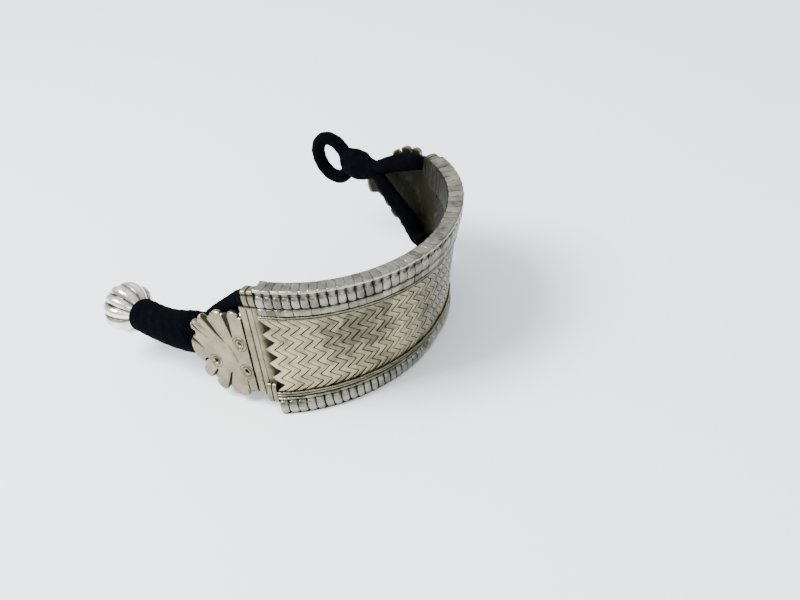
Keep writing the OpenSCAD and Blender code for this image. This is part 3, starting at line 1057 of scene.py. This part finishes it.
@dataclass
class BorderWires:
    """The two thin wires beside one row of edge links, a little uneven in thickness and course."""

    edge: Edge
    radius: float = 0.28
    steps: Pair = (0.5, 1.25)
    past: float = 0.0
    face: float = 1.2
    sunk: float = 0.1
    stations: int = 420
    sides: int = 10

    def build(self, finishes: Finishes) -> None:
        """Builds both wires and dresses them.

        Args:
            finishes: The bracelet's materials.
        """
        s = np.linspace(BAND.start - self.past, BAND.length + self.past, self.stations)[:, None]
        turn = np.linspace(0, FULL_TURN, self.sides, endpoint=False)[None, :]
        skin = Skin()
        for k, step in enumerate(self.steps):
            upper = self.edge is Edge.UPPER
            z = BAND.height - BAND.upper_row - step if upper else BAND.lower_row + step
            radius = self.radius * (1.0 + wave(s, 0.07, 5.2, k) + wave(s, 0.05, 1.3, 2 * k))
            depth = self.face - self.radius - self.sunk + wave(s, 0.04, 0.9, 3 * k) + radius * np.cos(turn)
            height = z + wave(s, 0.05, 0.7, k) + radius * np.sin(turn)
            # The half of each wire turned into the band is painted dark: painted shade, with residue and
            # oxide
            inside = smooth(-0.2, 0.8, np.cos(turn))
            skin.grid(BAND.at(s, depth, height), 0.9 * inside, inside)
        skin.dress(f"{self.edge.value}_edge_wires", "drawn", 60.0, finishes.wire)


@dataclass
class EndCap:
    """Cap at one end: a ridged plate, a corner block of two halves at each corner, and a barrel.

    Sizes are in the end's frame. Ridges are their middle, half width and rise, blocks the depth and
    height round their outline, and the barrel its depth, height, radius, start and end.
    """

    end: End
    width: float = 6.6
    plate_face: float = 2.2
    plate_t: float = 1.1
    plate_low: float = 4.9
    plate_tall: float = 28.8
    rim: float = 0.4
    under: float = 2.6
    tongue_end: float = 0.1
    tongue_heights: Pair = (5.8, 31.2)
    narrow_ridge: Triple = (3.55, 0.85, 0.5)
    broad_ridge: Triple = (5.35, 1.2, 0.62)
    # Creases beside the ridges, painted with residue and painted shade: place, reach and how dark
    creases: Rows = ((4.28, 0.14, 1.0), (2.66, 0.12, 0.35), (6.6, 0.14, 1.0))
    upper_block: Rows = (
        (0.62, 33.9), (0.75, 34.5), (0.62, 34.9), (0.3, 35.8), (0.12, 37.0), (0.2, 38.0), (0.55, 38.5),
        (0.2, 39.1), (0.35, 39.6), (1.0, 39.85), (2.5, 39.8), (3.9, 39.4), (4.6, 38.6), (4.7, 37.0),
        (4.7, 33.6), (3.4, 33.4), (2.4, 33.4),
    )
    lower_block: Rows = (
        (0.95, 3.5), (0.62, 3.9), (0.48, 5.2), (0.55, 7.6), (0.7, 8.7), (1.2, 9.45), (2.3, 9.45),
        (3.3, 9.3), (3.4, 6.5), (3.4, 4.2), (3.1, 3.5), (2.0, 3.5),
    )
    upper_halves: Rows = ((0.12, 2.12), (2.28, 4.0))
    lower_halves: Rows = ((0.12, 1.55), (1.68, 3.2))
    # Crosswise grooves in the face of the upper block, painted with residue and painted shade: height and
    # reach
    block_grooves: Rows = ((38.5, 0.35), (34.7, 0.55))
    block_inset: float = 0.22
    block_tone: float = 0.34
    barrel: tuple[float, float, float, float, float] = (5.3, 12.0, 2.1, 0.6, 4.6)
    bore: Pair = (1.5, 1.6)

    def ridges(self, x: np.ndarray) -> np.ndarray:
        """How far the plate's face stands out at its narrow and its broad ridge.

        Args:
            x: Distances out of the band.

        Returns:
            The rise at each of them.
        """
        middle, half, rise = self.narrow_ridge
        narrow = rise * np.sqrt(np.clip(1.0 - ((x - middle) / half) ** 2, 0.0, 1.0))
        middle, half, rise = self.broad_ridge
        return np.maximum(narrow, rise * np.clip(1.0 - ((x - middle) / half) ** 4, 0.0, 1.0) ** 0.6)

    def plate(self, skin: Skin) -> None:
        """Adds the plate with its ridges and the tongue under the zigzags.

        Args:
            skin: Where it goes.
        """
        x = np.concatenate([np.linspace(-self.under, 2.4, 12), np.linspace(2.6, self.width, 48)])
        eased = np.array([0.0, 0.12, self.rim])
        between = np.linspace(1.0, self.plate_tall - 1.0, 34)
        rise = np.concatenate([eased, between, self.plate_tall - eased[::-1]])
        rim = smooth(self.rim, 0.0, rise) + smooth(self.rim, 0.0, self.plate_tall - rise)
        z = (rise + self.plate_low)[:, None]
        face = self.plate_face - self.ridges(x) + 0.16 * rim[:, None]
        face = face + wave(z, 0.03, 0.6) * wave(x, 1.0, 1.7)
        face = np.maximum(face, np.where(x < self.tongue_end, self.plate_face + 0.02, 0.0))
        back = np.full((len(z), 6), self.plate_face + self.plate_t)
        depth = np.concatenate([face, back], axis=1)
        xs = np.concatenate([x, np.linspace(self.width, -self.under, 6)])
        high = np.where(xs < self.tongue_end, np.clip(z, *self.tongue_heights), z)
        crease = sum(dark * bump(x, place, reach) for place, reach, dark in self.creases)
        # Painted shade: the plate darkens towards the zigzag teeth and under them, in both masks
        crease = crease + 0.9 * smooth(1.5, -0.5, x)
        residue_and_shade = np.concatenate([crease, np.zeros(6)])
        tarnish_and_shade = np.concatenate([0.6 * smooth(3.2, 0.4, x), np.ones(6)])
        skin.grid(BAND.on_end(self.end, xyz(xs, depth, high)), residue_and_shade, tarnish_and_shade)

    def block(self, skin: Skin, rows: Rows, halves: Rows) -> None:
        """Adds the two halves of one corner block.

        Args:
            skin: Where they go.
            rows: Depth and height of the block's outline.
            halves: Where each half starts and ends along the cap.
        """
        outline = self.rounded(np.array(rows), 5)
        away = outline - outline.mean(axis=0)
        away = away / np.linalg.norm(away, axis=1)[:, None]
        t = np.sin(math.pi / 2 * np.linspace(-1, 1, 13))[:, None]
        inset = self.block_inset * smooth(0.72, 1.0, np.abs(t))
        ring = outline[None] - inset[..., None] * away[None]
        depth, high = ring[..., 0], ring[..., 1]
        # Painted shade with residue at the ends of each half and in the grooves; oxide and painted shade on
        # the inner side
        residue_and_shade = 0.95 * smooth(0.7, 1.0, np.abs(t))
        for groove, reach in self.block_grooves:
            residue_and_shade = np.maximum(residue_and_shade, 0.9 * bump(high, groove, reach) * (depth < 1.2))
        tarnish_and_shade = 0.8 * smooth(3.0, 4.4, depth)
        for start, end in halves:
            x = (start + end) / 2 + t * (end - start) / 2
            skin.grid(BAND.on_end(self.end, xyz(x, depth, high)), residue_and_shade, tarnish_and_shade, self.block_tone)

    @staticmethod
    def rounded(outline: np.ndarray, parts: int) -> np.ndarray:
        """Eases the corners of a closed outline.

        Args:
            outline: Its corners.
            parts: How many points each side gets.

        Returns:
            The points of the eased outline.
        """
        after = np.roll(outline, -1, axis=0)
        share = np.arange(parts)[None, :, None] / parts
        dense = (outline[:, None] * (1 - share) + after[:, None] * share).reshape(-1, 2)
        for _ in range(2):
            dense = 0.5 * dense + 0.25 * (np.roll(dense, 1, 0) + np.roll(dense, -1, 0))
        return dense

    def tube(self, skin: Skin) -> None:
        """Adds the barrel that the lower leg starts in, with eased rims and its bore.

        Args:
            skin: Where it goes.
        """
        depth, height, radius, start, end = self.barrel
        bore_r, bore_len = self.bore
        rows = (
            (start, radius - 0.2), (start + 0.05, radius - 0.06), (start + 0.25, radius),
            (end - 0.25, radius), (end - 0.05, radius - 0.06), (end, radius - 0.2),
            (end, bore_r), (end - bore_len, bore_r),
        )
        along, size = np.array(rows).T[..., None]
        turn = np.linspace(0, FULL_TURN, 36, endpoint=False)
        local = xyz(along, depth + size * np.cos(turn), height + size * np.sin(turn))
        # The barrel is painted dark all over: painted shade, with a little residue
        skin.grid(BAND.on_end(self.end, local), 0.2, 1.0)

    def build(self, finishes: Finishes) -> None:
        """Builds the cap and dresses it.

        Args:
            finishes: The bracelet's materials.
        """
        skin = Skin()
        self.plate(skin)
        self.block(skin, self.upper_block, self.upper_halves)
        self.block(skin, self.lower_block, self.lower_halves)
        self.tube(skin)
        skin.dress(f"{self.end.value}_cap", "worked", 45.0, finishes.plate)


@dataclass
class Fan:
    """Petal-shaped plate with grooves and three ring-and-dot bosses.

    Petals are the direction from the fan's middle in degrees, the reach and half of the angle. Groove
    ends are how far the groove between two petals leans, in degrees, and where it starts. Bosses are
    their place, radius and how sharp they still are.
    """

    end: End
    petals: Rows
    middle_z: float
    turn: float
    groove_ends: Rows = (
        (-3, 4.3), (-22, 4.4), (-15, 10.7), (-19.6, 12.2), (6.3, 12.6), (5.5, 11.8), (3.7, 8.6), (-4, 8.5)
    )
    thickness: float = 1.3
    least: float = 0.2
    face: float = 1.6
    root_x: float = 6.7
    centre_x: float = 4.0
    root_past: float = 0.6
    root_half: float = 11.7
    tip_turn: float = 60.0
    tip_droop: float = 0.62
    notch_from: float = 0.86
    notch: float = 0.9
    web: float = 0.9
    petal_rise: float = 0.34
    groove: float = 0.6
    groove_reach: float = 22.0
    groove_share: float = 0.8
    scratch: Rows = ((7.0, 1.8), (4.7, -3.7))
    pit: Pair = (1.5, -12.2)
    bosses: Rows = ((2.6, 2.9, 2.2, 0.6), (13.0, -4.8, 2.0, 1.0), (2.3, -6.0, 2.2, 1.0))
    # Back of the fan: share of the way to the rim, height off the back, mask of oxide and painted shade on
    # the inner side
    behind: Rows = ((1.0, 0.15, 0.0), (0.995, 0.0, 0.25), (0.9, 0.0, 1.0), (0.6, 0.0, 1.0), (0.25, 0.0, 1.0))
    spokes: int = 600
    rings: int = 96

    def rim(self, turn: np.ndarray) -> np.ndarray:
        """How far the fan reaches from its middle in each direction.

        Args:
            turn: Directions in degrees, from -180 to 180.

        Returns:
            The reach in each of them.
        """
        reach = np.zeros_like(turn)
        for direction, far, half in self.petals:
            off = (turn - direction) / half
            droop = FULL_TURN * far * half / 360 * self.tip_droop
            bow = np.arcsin(np.clip(off * math.sin(math.radians(self.tip_turn)), -1, 1))
            notch = self.notch * np.clip(np.abs(off) - self.notch_from, 0, 1) / (1 - self.notch_from)
            lobe = far - droop * (1 - np.cos(bow)) - notch
            reach = np.maximum(reach, np.where(np.abs(off) <= 1.0, lobe, 0.0))
        order = sorted(self.petals)
        web = np.interp(turn, [p[0] for p in order], [self.web * p[1] for p in order])
        reach = np.maximum(reach, np.where((turn > order[0][0]) & (turn < order[-1][0]), web, 0.0))
        radians = np.radians(turn)
        side = np.minimum(self.root_half / np.maximum(np.abs(np.sin(radians)), 1e-6), 40.0)
        reach = np.where(reach < 1.0, side, reach)
        root = (self.centre_x + self.root_past) / np.maximum(-np.cos(radians), 1e-6)
        return np.minimum(reach, root)

    def cut(self, k: int, x: np.ndarray, y: np.ndarray) -> np.ndarray:
        """Groove between petals k and k + 1, which widens towards the rim.

        Args:
            k: Which groove.
            x: Distance along the fan.
            y: Height above its middle.

        Returns:
            Which share of its depth the groove has at each point.
        """
        lean, near = self.groove_ends[k]
        start = self.petals[k][0] - self.petals[k][2]
        stop = self.petals[k + 1][0] + self.petals[k + 1][2]
        middle = math.radians((start + stop) / 2)
        half = max((start - stop) / 2, 1.0) * self.groove_share
        tip = math.radians(lean) + middle
        far = self.groove_reach
        ax, ay = self.centre_x + near * math.cos(tip), near * math.sin(tip)
        bx, by = self.centre_x + far * math.cos(middle), far * math.sin(middle)
        long = math.hypot(bx - ax, by - ay)
        ux, uy = (bx - ax) / long, (by - ay) / long
        along = (x - ax) * ux + (y - ay) * uy
        off = np.abs((x - ax) * uy - (y - ay) * ux)
        width = 0.2 + far * math.radians(half) * np.clip(along / long, 0, 1)
        return np.clip(1.25 - off / width, 0, 1) * smooth(-0.3, 1.2, along)

    def height(
        self, x: np.ndarray, y: np.ndarray, share: np.ndarray, turn: np.ndarray
    ) -> tuple[np.ndarray, np.ndarray]:
        """Relief of the outer face.

        Args:
            x: Distance along the fan.
            y: Height above its middle.
            share: Share of the way to the rim.
            turn: Direction from the middle in degrees.

        Returns:
            How far the face stands out, and the crevice mask.
        """
        out = np.zeros_like(x)
        residue_and_shade = np.zeros_like(x)
        for direction, _, half in self.petals:
            off = (turn - direction) / half
            out += self.petal_rise * np.clip(1 - off**2, 0, 1) * smooth(0.3, 0.8, share)
        # Grooves, the scratch and the pit are painted dark: residue and painted shade
        for k in range(len(self.groove_ends)):
            cut = self.cut(k, x, y)
            out -= self.groove * cut
            residue_and_shade = np.maximum(residue_and_shade, smooth(0.1, 0.45, cut))
        (ax, ay), (bx, by) = self.scratch
        along = ((x - ax) * (bx - ax) + (y - ay) * (by - ay)) / ((bx - ax) ** 2 + (by - ay) ** 2)
        along = np.clip(along, 0, 1)
        line = bump(np.hypot(x - ax - along * (bx - ax), y - ay - along * (by - ay)), 0.0, 0.11)
        hole = bump(np.hypot(x - self.pit[0], y - self.pit[1]), 0.0, 0.28)
        out -= 0.14 * line + 0.3 * hole
        residue_and_shade = np.maximum(residue_and_shade, np.maximum(0.9 * line, hole))
        for bx, by, radius, sharp in self.bosses:
            rho = np.hypot(x - bx, y - by)
            inside = smooth(radius + 0.15, radius - 0.1, rho)
            # Outer ring, inner ring and the dot in the middle, then the residue and painted shade between and
            # round them
            disc = 0.24 * bump(rho, radius - 0.22, 0.2) + sharp * 0.3 * bump(rho, 1.05, 0.26)
            disc -= sharp * 0.75 * smooth(0.8, 0.55, rho)
            out = out * (1 - inside) + disc * inside
            moat = bump(rho, radius - 0.75, 0.2) * 0.75 + sharp * smooth(0.85, 0.6, rho)
            moat = np.maximum(moat, 0.7 * bump(rho, radius + 0.12, 0.14))
            residue_and_shade = np.maximum(residue_and_shade * (1 - inside), moat)
        out -= 0.42 * smooth(0.955, 1.0, share) ** 2
        out += wave(x, 0.05, 0.9, 1.0) * np.cos(y * 0.7)
        return out, residue_and_shade

    def build(self, finishes: Finishes) -> None:
        """Builds the fan and dresses it.

        Args:
            finishes: The bracelet's materials.
        """
        turn = np.linspace(-180, 180, self.spokes, endpoint=False)[None, :]
        reach = self.rim(turn)
        share = (np.linspace(0, 1, self.rings)[:, None] ** 0.85)[1:]
        share_back, z_back, inner = np.array(self.behind).T[..., None]
        shares = np.concatenate([share, share_back])
        x = self.centre_x + shares * reach * np.cos(np.radians(turn))
        y = shares * reach * np.sin(np.radians(turn))
        front = len(share)
        out, residue_and_shade = self.height(x[:front], y[:front], share, turn)
        z = np.concatenate([self.thickness + out, np.broadcast_to(z_back, x[front:].shape)])
        back = self.thickness - np.where(z > 0, np.maximum(z, self.least), z)
        # The back is painted a little dark, and inside its rim with oxide and painted shade
        residue_and_shade = np.concatenate([residue_and_shade, np.full(x[front:].shape, 0.1)])
        tarnish_and_shade = np.concatenate([np.zeros(share.shape), inner])
        angle = math.radians(self.turn)
        out_x = self.root_x + x * math.cos(angle) - back * math.sin(angle)
        inward = self.face + x * math.sin(angle) + back * math.cos(angle)
        local = xyz(np.maximum(out_x, self.root_x), inward, self.middle_z + y)
        skin = Skin()
        skin.grid(BAND.on_end(self.end, local), residue_and_shade, tarnish_and_shade)
        skin.dress(f"{self.end.value}_fan", "chased", 50.0, finishes.plate)


@dataclass
class Winding:
    """Sweeps a thread-wound tube: fine turns of thread round a stem."""

    wrap: float = 0.52
    relief: float = 0.1
    per_wrap: int = 5
    sides: int = 40
    parts: int = 24
    nose: float = 1.2

    def eased(self, rows: np.ndarray) -> np.ndarray:
        """Points of a smooth curve through rows.

        Args:
            rows: Rows of numbers, one for each station.

        Returns:
            The denser rows, a set number of them for each span.
        """
        padded = np.vstack([2 * rows[0] - rows[1], rows, 2 * rows[-1] - rows[-2]])
        out = []
        for i in range(1, len(padded) - 2):
            a, b, c, d = padded[i - 1 : i + 3]
            for t in np.arange(self.parts) / self.parts:
                square, cube = 2 * a - 5 * b + 4 * c - d, 3 * b - a - 3 * c + d
                out.append(0.5 * (2 * b + (c - a) * t + square * t**2 + cube * t**3))
        out.append(rows[-1])
        return np.array(out)

    def axes(self, path: np.ndarray, ring: bool) -> tuple[np.ndarray, np.ndarray]:
        """Directions square to a path.

        Args:
            path: The points of the stem's middle.
            ring: Whether it closes on itself.

        Returns:
            The directions across and up at each point.
        """
        way = np.gradient(path, axis=0)
        if ring:
            way = (np.roll(path, -1, axis=0) - np.roll(path, 1, axis=0)) / 2
        way /= np.linalg.norm(way, axis=1)[:, None]
        across = np.cross(way, (0.0, 1.0, 0.0) if ring else (0.0, 0.0, 1.0))
        across /= np.linalg.norm(across, axis=1)[:, None]
        return across, np.cross(across, way)

    def sweep(
        self, skin: Skin, rows: np.ndarray, phase: float, rounded: bool = False, ring: bool = False
    ) -> None:
        """Adds a wound tube.

        Args:
            skin: Where it goes.
            rows: x, y, z, half height and half width at each station.
            phase: Where the turns of thread start.
            rounded: Whether the far end closes in a soft edge.
            ring: Whether the tube closes on itself.
        """
        dense = self.eased(rows)
        path = np.concatenate([[0], np.cumsum(np.linalg.norm(np.diff(dense[:, :3], axis=0), axis=1))])
        length = path[-1]
        at = np.linspace(0, length, int(length / self.wrap * self.per_wrap) + 1)
        if ring:
            at = at[:-1]
        row = np.stack([np.interp(at, path, dense[:, k]) for k in range(5)], axis=1)
        across, rise = self.axes(row[:, :3], ring)
        at = at[:, None]
        turn = np.linspace(0, FULL_TURN, self.sides, endpoint=False)
        drift = wave(at, 0.35, 0.8, phase) + wave(turn, 0.2, 2, phase)
        lay = at / self.wrap + turn / FULL_TURN + drift
        if ring:
            lay = at / length * round(length / self.wrap) + turn / FULL_TURN
        crest = np.abs(np.cos(math.pi * lay)) ** 0.7
        out = self.relief * (crest - 0.6) + wave(at * 1.9 + turn * 3, 0.05, 1.0, phase)
        if rounded:
            left = np.clip(length - at, 0, self.nose)
            out = out - self.nose + np.sqrt(np.clip(self.nose**2 - (self.nose - left) ** 2, 0, None))
        points = (
            row[:, None, :3]
            + ((row[:, 4:5] + out) * np.cos(turn))[..., None] * across[:, None, :]
            + ((row[:, 3:4] + out) * np.sin(turn))[..., None] * rise[:, None, :]
        )
        # Painted shade in the dips between turns of thread, carried by the crevice mask
        skin.grid(points, (1 - crest) ** 1.5, ring=ring)


@dataclass
class Tie:
    """Wound tie of one end: two legs that start in the cap and join in a stem.

    Legs are the distance out from the end, depth, height, half height and half width; the stem is
    x, y, z, half height and half width. Cords are the depth, height and mouth of the leg's bore.
    """

    end: End
    upper_leg: Rows
    lower_leg: Rows
    stem: Rows
    upper_cord: Triple = (2.6, 36.3, 4.0)
    lower_cord: Triple = (5.3, 12.0, 4.6)
    cord_r: float = 1.35
    bore_len: float = 2.1
    collar_start: float = 0.65
    collar_r: float = 2.36

    def leg(self, cord: Triple, rows: Rows, collar: bool = False) -> np.ndarray:
        """Stations of one leg.

        Args:
            cord: Depth, height and mouth of the bore it starts in.
            rows: The leg's own table.
            collar: Whether the thread is also wound over the barrel with the bore.

        Returns:
            x, y, z, half height and half width at each station.
        """
        depth, height, mouth = cord
        first = self.collar_start if collar else mouth - self.bore_len
        start = BAND.on_end(self.end, np.array([[first, depth, height], [mouth + 0.2, depth, height]]))
        table = np.array(rows, float)
        s = BAND.length + table[:, 0] if self.end is End.REAR else BAND.start - table[:, 0]
        places = np.concatenate([start, BAND.at(s, table[:, 1], table[:, 2])])
        sizes = np.concatenate([np.full((2, 2), self.collar_r if collar else self.cord_r), table[:, 3:]])
        return np.concatenate([places, sizes], axis=1)

    def build(self, finishes: Finishes) -> None:
        """Builds the tie and dresses it.

        Args:
            finishes: The bracelet's materials.
        """
        skin = Skin()
        wound = Winding()
        wound.sweep(skin, self.leg(self.upper_cord, self.upper_leg), 0.3)
        wound.sweep(skin, self.leg(self.lower_cord, self.lower_leg, collar=True), 1.9)
        stem = np.array(self.stem, float)
        stem[:, :2] -= BAND.centre
        Winding(sides=56).sweep(skin, stem, 0.9, rounded=True)
        skin.dress(f"{self.end.value}_tie", "wound", 60.0, finishes.thread)


@dataclass
class Loop:
    """Wound loop that the bead slips through."""

    place: Triple = (-18.5, 88.3, 30.4)
    high: float = 6.9
    wide: float = 5.5
    cord_r: float = 2.1
    heading: float = 170.0
    tilt: float = 15.0
    stations: int = 49

    def build(self, finishes: Finishes) -> None:
        """Builds the loop and dresses it.

        Args:
            finishes: The bracelet's materials.
        """
        turn = np.linspace(0, FULL_TURN, self.stations)
        flat = xyz(self.wide * np.cos(turn), 0.0, self.high * np.sin(turn))
        rows = np.concatenate([flat, np.full((self.stations, 2), self.cord_r)], axis=1)
        skin = Skin()
        Winding(sides=32, wrap=0.5).sweep(skin, rows, 0.4, ring=True)
        skin.points = [BAND.placed(points, self.place, self.heading, self.tilt) for points in skin.points]
        skin.dress("rear_loop", "wound", 60.0, finishes.thread)


@dataclass
class MelonBead:
    """Lobed ball on the end of the front stem."""

    place: Triple = (-55.4, 15.7, 16.2)
    heading: float = 162.0
    tilt: float = 90.0
    diameter: float = 15.5
    flat: float = 0.95
    lobes: int = 10
    valley: float = 1.15
    # Painted shade in the valleys, and tone from valley to crest: painted shade in the valleys, painted
    # highlight on the crests
    valley_shade: Pair = (0.24, 0.02)
    tone: Pair = (0.15, 0.75)
    phase: float = 0.3
    pole: float = 0.03

    def build(self, finishes: Finishes) -> None:
        """Builds the bead, whose lobes are a little uneven, and dresses it.

        Args:
            finishes: The bracelet's materials.
        """
        lat = np.linspace(self.pole, math.pi - self.pole, 84)[:, None]
        lon = np.linspace(0, FULL_TURN, 300, endpoint=False)[None, :]
        uneven = lon + wave(lon, 0.11, 2, 1.0) + wave(lon, 0.06, 3)
        crest = np.abs(np.cos(self.lobes * uneven / 2 + self.phase))
        radius = self.diameter / 2
        dip = self.valley * (1 - crest**0.75) * np.sin(lat) ** 0.7
        ball = (radius - dip) * np.sin(lat)
        points = xyz(ball * np.cos(lon), ball * np.sin(lon), -radius * self.flat * np.cos(lat))
        points = BAND.placed(points, self.place, self.heading, self.tilt)
        skin = Skin()
        # Crests painted bright and valleys dark: painted highlight and painted shade
        tone = self.tone[0] + self.tone[1] * crest
        skin.grid(points, 0.95 * smooth(*self.valley_shade, crest), tone=tone)
        skin.dress("melon_bead", "polished", 60.0, finishes.bead)


@dataclass(frozen=True)
class Lamp:
    """Soft square light that faces the bracelet, in metres and watts."""

    name: str
    place: Triple
    size: float
    power: float
    tint: Triple
    target: Triple = (0.0, 0.0, 0.02)

    def build(self) -> None:
        """Places the light."""
        data = bpy.data.lights.new(self.name, "AREA")
        data.size = self.size
        data.energy = self.power
        data.color = self.tint
        made = bpy.data.objects.new(self.name, data)
        made.location = self.place
        made.rotation_mode = "QUATERNION"
        made.rotation_quaternion = (Vector(self.target) - Vector(self.place)).to_track_quat("-Z", "Y")
        bpy.context.scene.collection.objects.link(made)


@dataclass
class Studio:
    """Pale floor, soft light and the camera at the photograph's angle."""

    lens: float = 54.03
    sensor: float = 36.0
    clip: Pair = (0.01, 20.0)
    spot: Triple = (148.948, -217.932, 208.95)
    right: Triple = (0.9236, 0.3634, -0.1218)
    down: Triple = (0.1144, -0.5647, -0.8173)
    ahead: Triple = (-0.3658, 0.7410, -0.5632)
    floor_colour: Triple = (0.87, 0.9, 0.94)
    floor_cloud: float = 1.02
    floor_cloud_scale: float = 9.0
    floor_roughness: float = 0.75
    floor_radius: float = 3.0
    sky_low: Triple = (0.42, 0.45, 0.5)
    sky_high: Triple = (0.92, 0.97, 1.0)
    sky_span: Pair = (-0.05, 0.75)
    sky_strength: float = 1.7
    sky_side: float = 0.25
    key: Lamp = Lamp("key", (-0.35, -0.25, 0.6), 0.35, 14.0, (1.0, 0.98, 0.95))
    fill: Lamp = Lamp("fill", (0.45, -0.5, 0.35), 0.5, 2.5, (0.95, 0.97, 1.0))

    def camera(self) -> None:
        """Places the camera."""
        data = bpy.data.cameras.new("camera")
        data.lens = self.lens
        data.sensor_width = self.sensor
        data.clip_start, data.clip_end = self.clip
        made = bpy.data.objects.new("camera", data)
        axes = Matrix((self.right, [-d for d in self.down], [-a for a in self.ahead])).transposed()
        made.matrix_world = Matrix.Translation(BAND.centred(self.spot) * MM) @ axes.to_4x4()
        bpy.context.scene.collection.objects.link(made)
        bpy.context.scene.camera = made

    def floor(self) -> None:
        """Adds the floor, a large disc with a faint cloudiness."""
        mesh = bpy.data.meshes.new("floor")
        work = bmesh.new()
        bmesh.ops.create_circle(work, cap_ends=True, radius=self.floor_radius, segments=64)
        work.to_mesh(mesh)
        work.free()
        made = bpy.data.objects.new("floor", mesh)
        bpy.context.scene.collection.objects.link(made)
        material, nodes, shader = start_material("pale_floor")
        cloud = nodes.noise(nodes.place(), self.floor_cloud_scale, 2.0)
        bright = [c * self.floor_cloud for c in self.floor_colour]
        tone = nodes.mix(cloud, (*self.floor_colour, 1.0), (*bright, 1.0))
        nodes.fill(shader, {"Base Color": tone, "Roughness": self.floor_roughness})
        mesh.materials.append(material)

    def sky(self) -> None:
        """Sets a soft sky, brighter overhead and on the left."""
        world = bpy.data.worlds.new("soft_sky")
        bpy.context.scene.world = world
        world.use_nodes = True
        nodes = Nodes(world.node_tree)
        toward = nodes.add("ShaderNodeTexCoord").outputs["Generated"]
        split = nodes.add("ShaderNodeSeparateXYZ")
        nodes.feed(split.inputs[0], toward)
        up = nodes.span(split.outputs["Z"], self.sky_span)
        tone = nodes.mix(up, (*self.sky_low, 1.0), (*self.sky_high, 1.0))
        side = nodes.plus(nodes.times(split.outputs["X"], -self.sky_side), 1.0)
        light = {"Color": tone, "Strength": nodes.times(side, self.sky_strength)}
        nodes.fill(world.node_tree.nodes["Background"], light)

    def build(self) -> None:
        """Builds the whole studio."""
        self.camera()
        self.floor()
        self.sky()
        self.key.build()
        self.fill.build()


FRONT_FAN = Fan(
    End.FRONT,
    petals=(
        (96, 13.4, 8), (62, 13.3, 12), (36, 15.1, 7.5), (21.5, 16.7, 6), (-8, 17.3, 17),
        (-36, 17.8, 7), (-54.5, 17.3, 7.6), (-78.5, 15.5, 12), (-102, 13.4, 7),
    ),
    middle_z=18.2,
    turn=10.0,
)
REAR_FAN = Fan(
    End.REAR,
    petals=(
        (92, 13.4, 8), (72, 13.4, 8.5), (51, 13.2, 8), (31, 12.8, 8), (1.5, 19.2, 7.5), (-14.5, 20.6, 8),
        (-36, 15, 8), (-54.5, 15, 7.6), (-78.5, 15.5, 12), (-102, 13.4, 7),
    ),
    middle_z=26.2,
    turn=20.0,
    groove_ends=(
        (-3, 4.3), (-22, 4.4), (-15, 10.7), (-19.6, 12.2), (0, 15.5), (6.3, 12.6), (5.5, 11.8), (3.7, 8.6),
        (-4, 8.5),
    ),
)
FRONT_TIE = Tie(
    End.FRONT,
    upper_leg=(
        (5.4, 3.2, 35.6, 1.7, 1.5), (6.6, 5, 34.2, 2.4, 1.8), (9, 6.2, 31.8, 2.9, 2.1),
        (12, 7.1, 29.6, 2.8, 2.15), (16, 8.2, 26.6, 2.8, 2.15), (20, 9.2, 23.4, 2.8, 2.1),
        (23, 9.8, 21, 2.4, 2),
    ),
    lower_leg=(
        (5.6, 5.7, 12, 2, 2), (9, 6.7, 12.2, 2.5, 2.15), (13, 7.7, 12.8, 2.6, 2.15), (18, 9, 13.6, 2.6, 2.15),
        (23, 9.8, 14.4, 2.2, 2),
    ),
    stem=(
        (-21.5, 9.1, 16.9, 5.2, 2.4), (-24, 9.3, 16.6, 6.8, 2.7), (-28.3, 9.2, 16.1, 7.1, 3.9),
        (-32, 9.2, 16, 6.5, 4.6), (-37, 9.9, 15.9, 5.7, 4.8), (-43, 11.4, 16, 5.1, 4.9),
        (-48.6, 13.2, 16.2, 4.9, 4.9), (-50.0, 13.7, 16.2, 4.8, 4.8),
    ),
)
REAR_TIE = Tie(
    End.REAR,
    upper_leg=(
        (5.2, 3.7, 37, 2.1, 1.4), (6.6, 6, 37.5, 2.5, 1.6), (9, 6.9, 37.1, 2.8, 2.15),
        (14, 8.8, 35.3, 2.7, 2.15), (18.5, 10.7, 33.2, 2.4, 2.1), (21.6, 11.8, 31.9, 1.9, 1.9),
    ),
    lower_leg=(
        (6.5, 5.6, 14.3, 2.6, 2.3), (8, 6.4, 17.2, 3, 2.4), (10.5, 7.6, 20.2, 2.9, 2.3),
        (13.5, 9, 23, 2.8, 2.2), (17.6, 10.7, 27, 2.5, 2.1), (20.8, 11.7, 30, 1.9, 1.9),
    ),
    stem=(
        (1.4, 80.9, 31.2, 2.4, 2), (-1, 81.8, 31, 3.1, 2.4), (-4, 82.9, 30.9, 3.9, 3),
        (-7, 84.5, 30.5, 4.7, 4.3), (-9.6, 85.8, 30.5, 4.7, 4.2), (-12, 86.9, 30.5, 4.3, 3.6),
        (-14.2, 87.5, 30.4, 3.7, 2.9),
    ),
)


def main() -> None:
    logging.basicConfig(level=logging.INFO, format="%(name)s %(message)s")
    Studio().build()
    finishes = Finishes.build()
    parts = (
        Weave(),
        EdgeLinks(Edge.UPPER),
        EdgeLinks(Edge.LOWER),
        BorderWires(Edge.UPPER, past=0.4),
        BorderWires(Edge.LOWER),
        EndCap(End.FRONT),
        EndCap(End.REAR),
        FRONT_FAN,
        REAR_FAN,
        FRONT_TIE,
        REAR_TIE,
        Loop(),
        MelonBead(),
    )
    for part in parts:
        part.build(finishes)


if __name__ == "__main__":
    main()
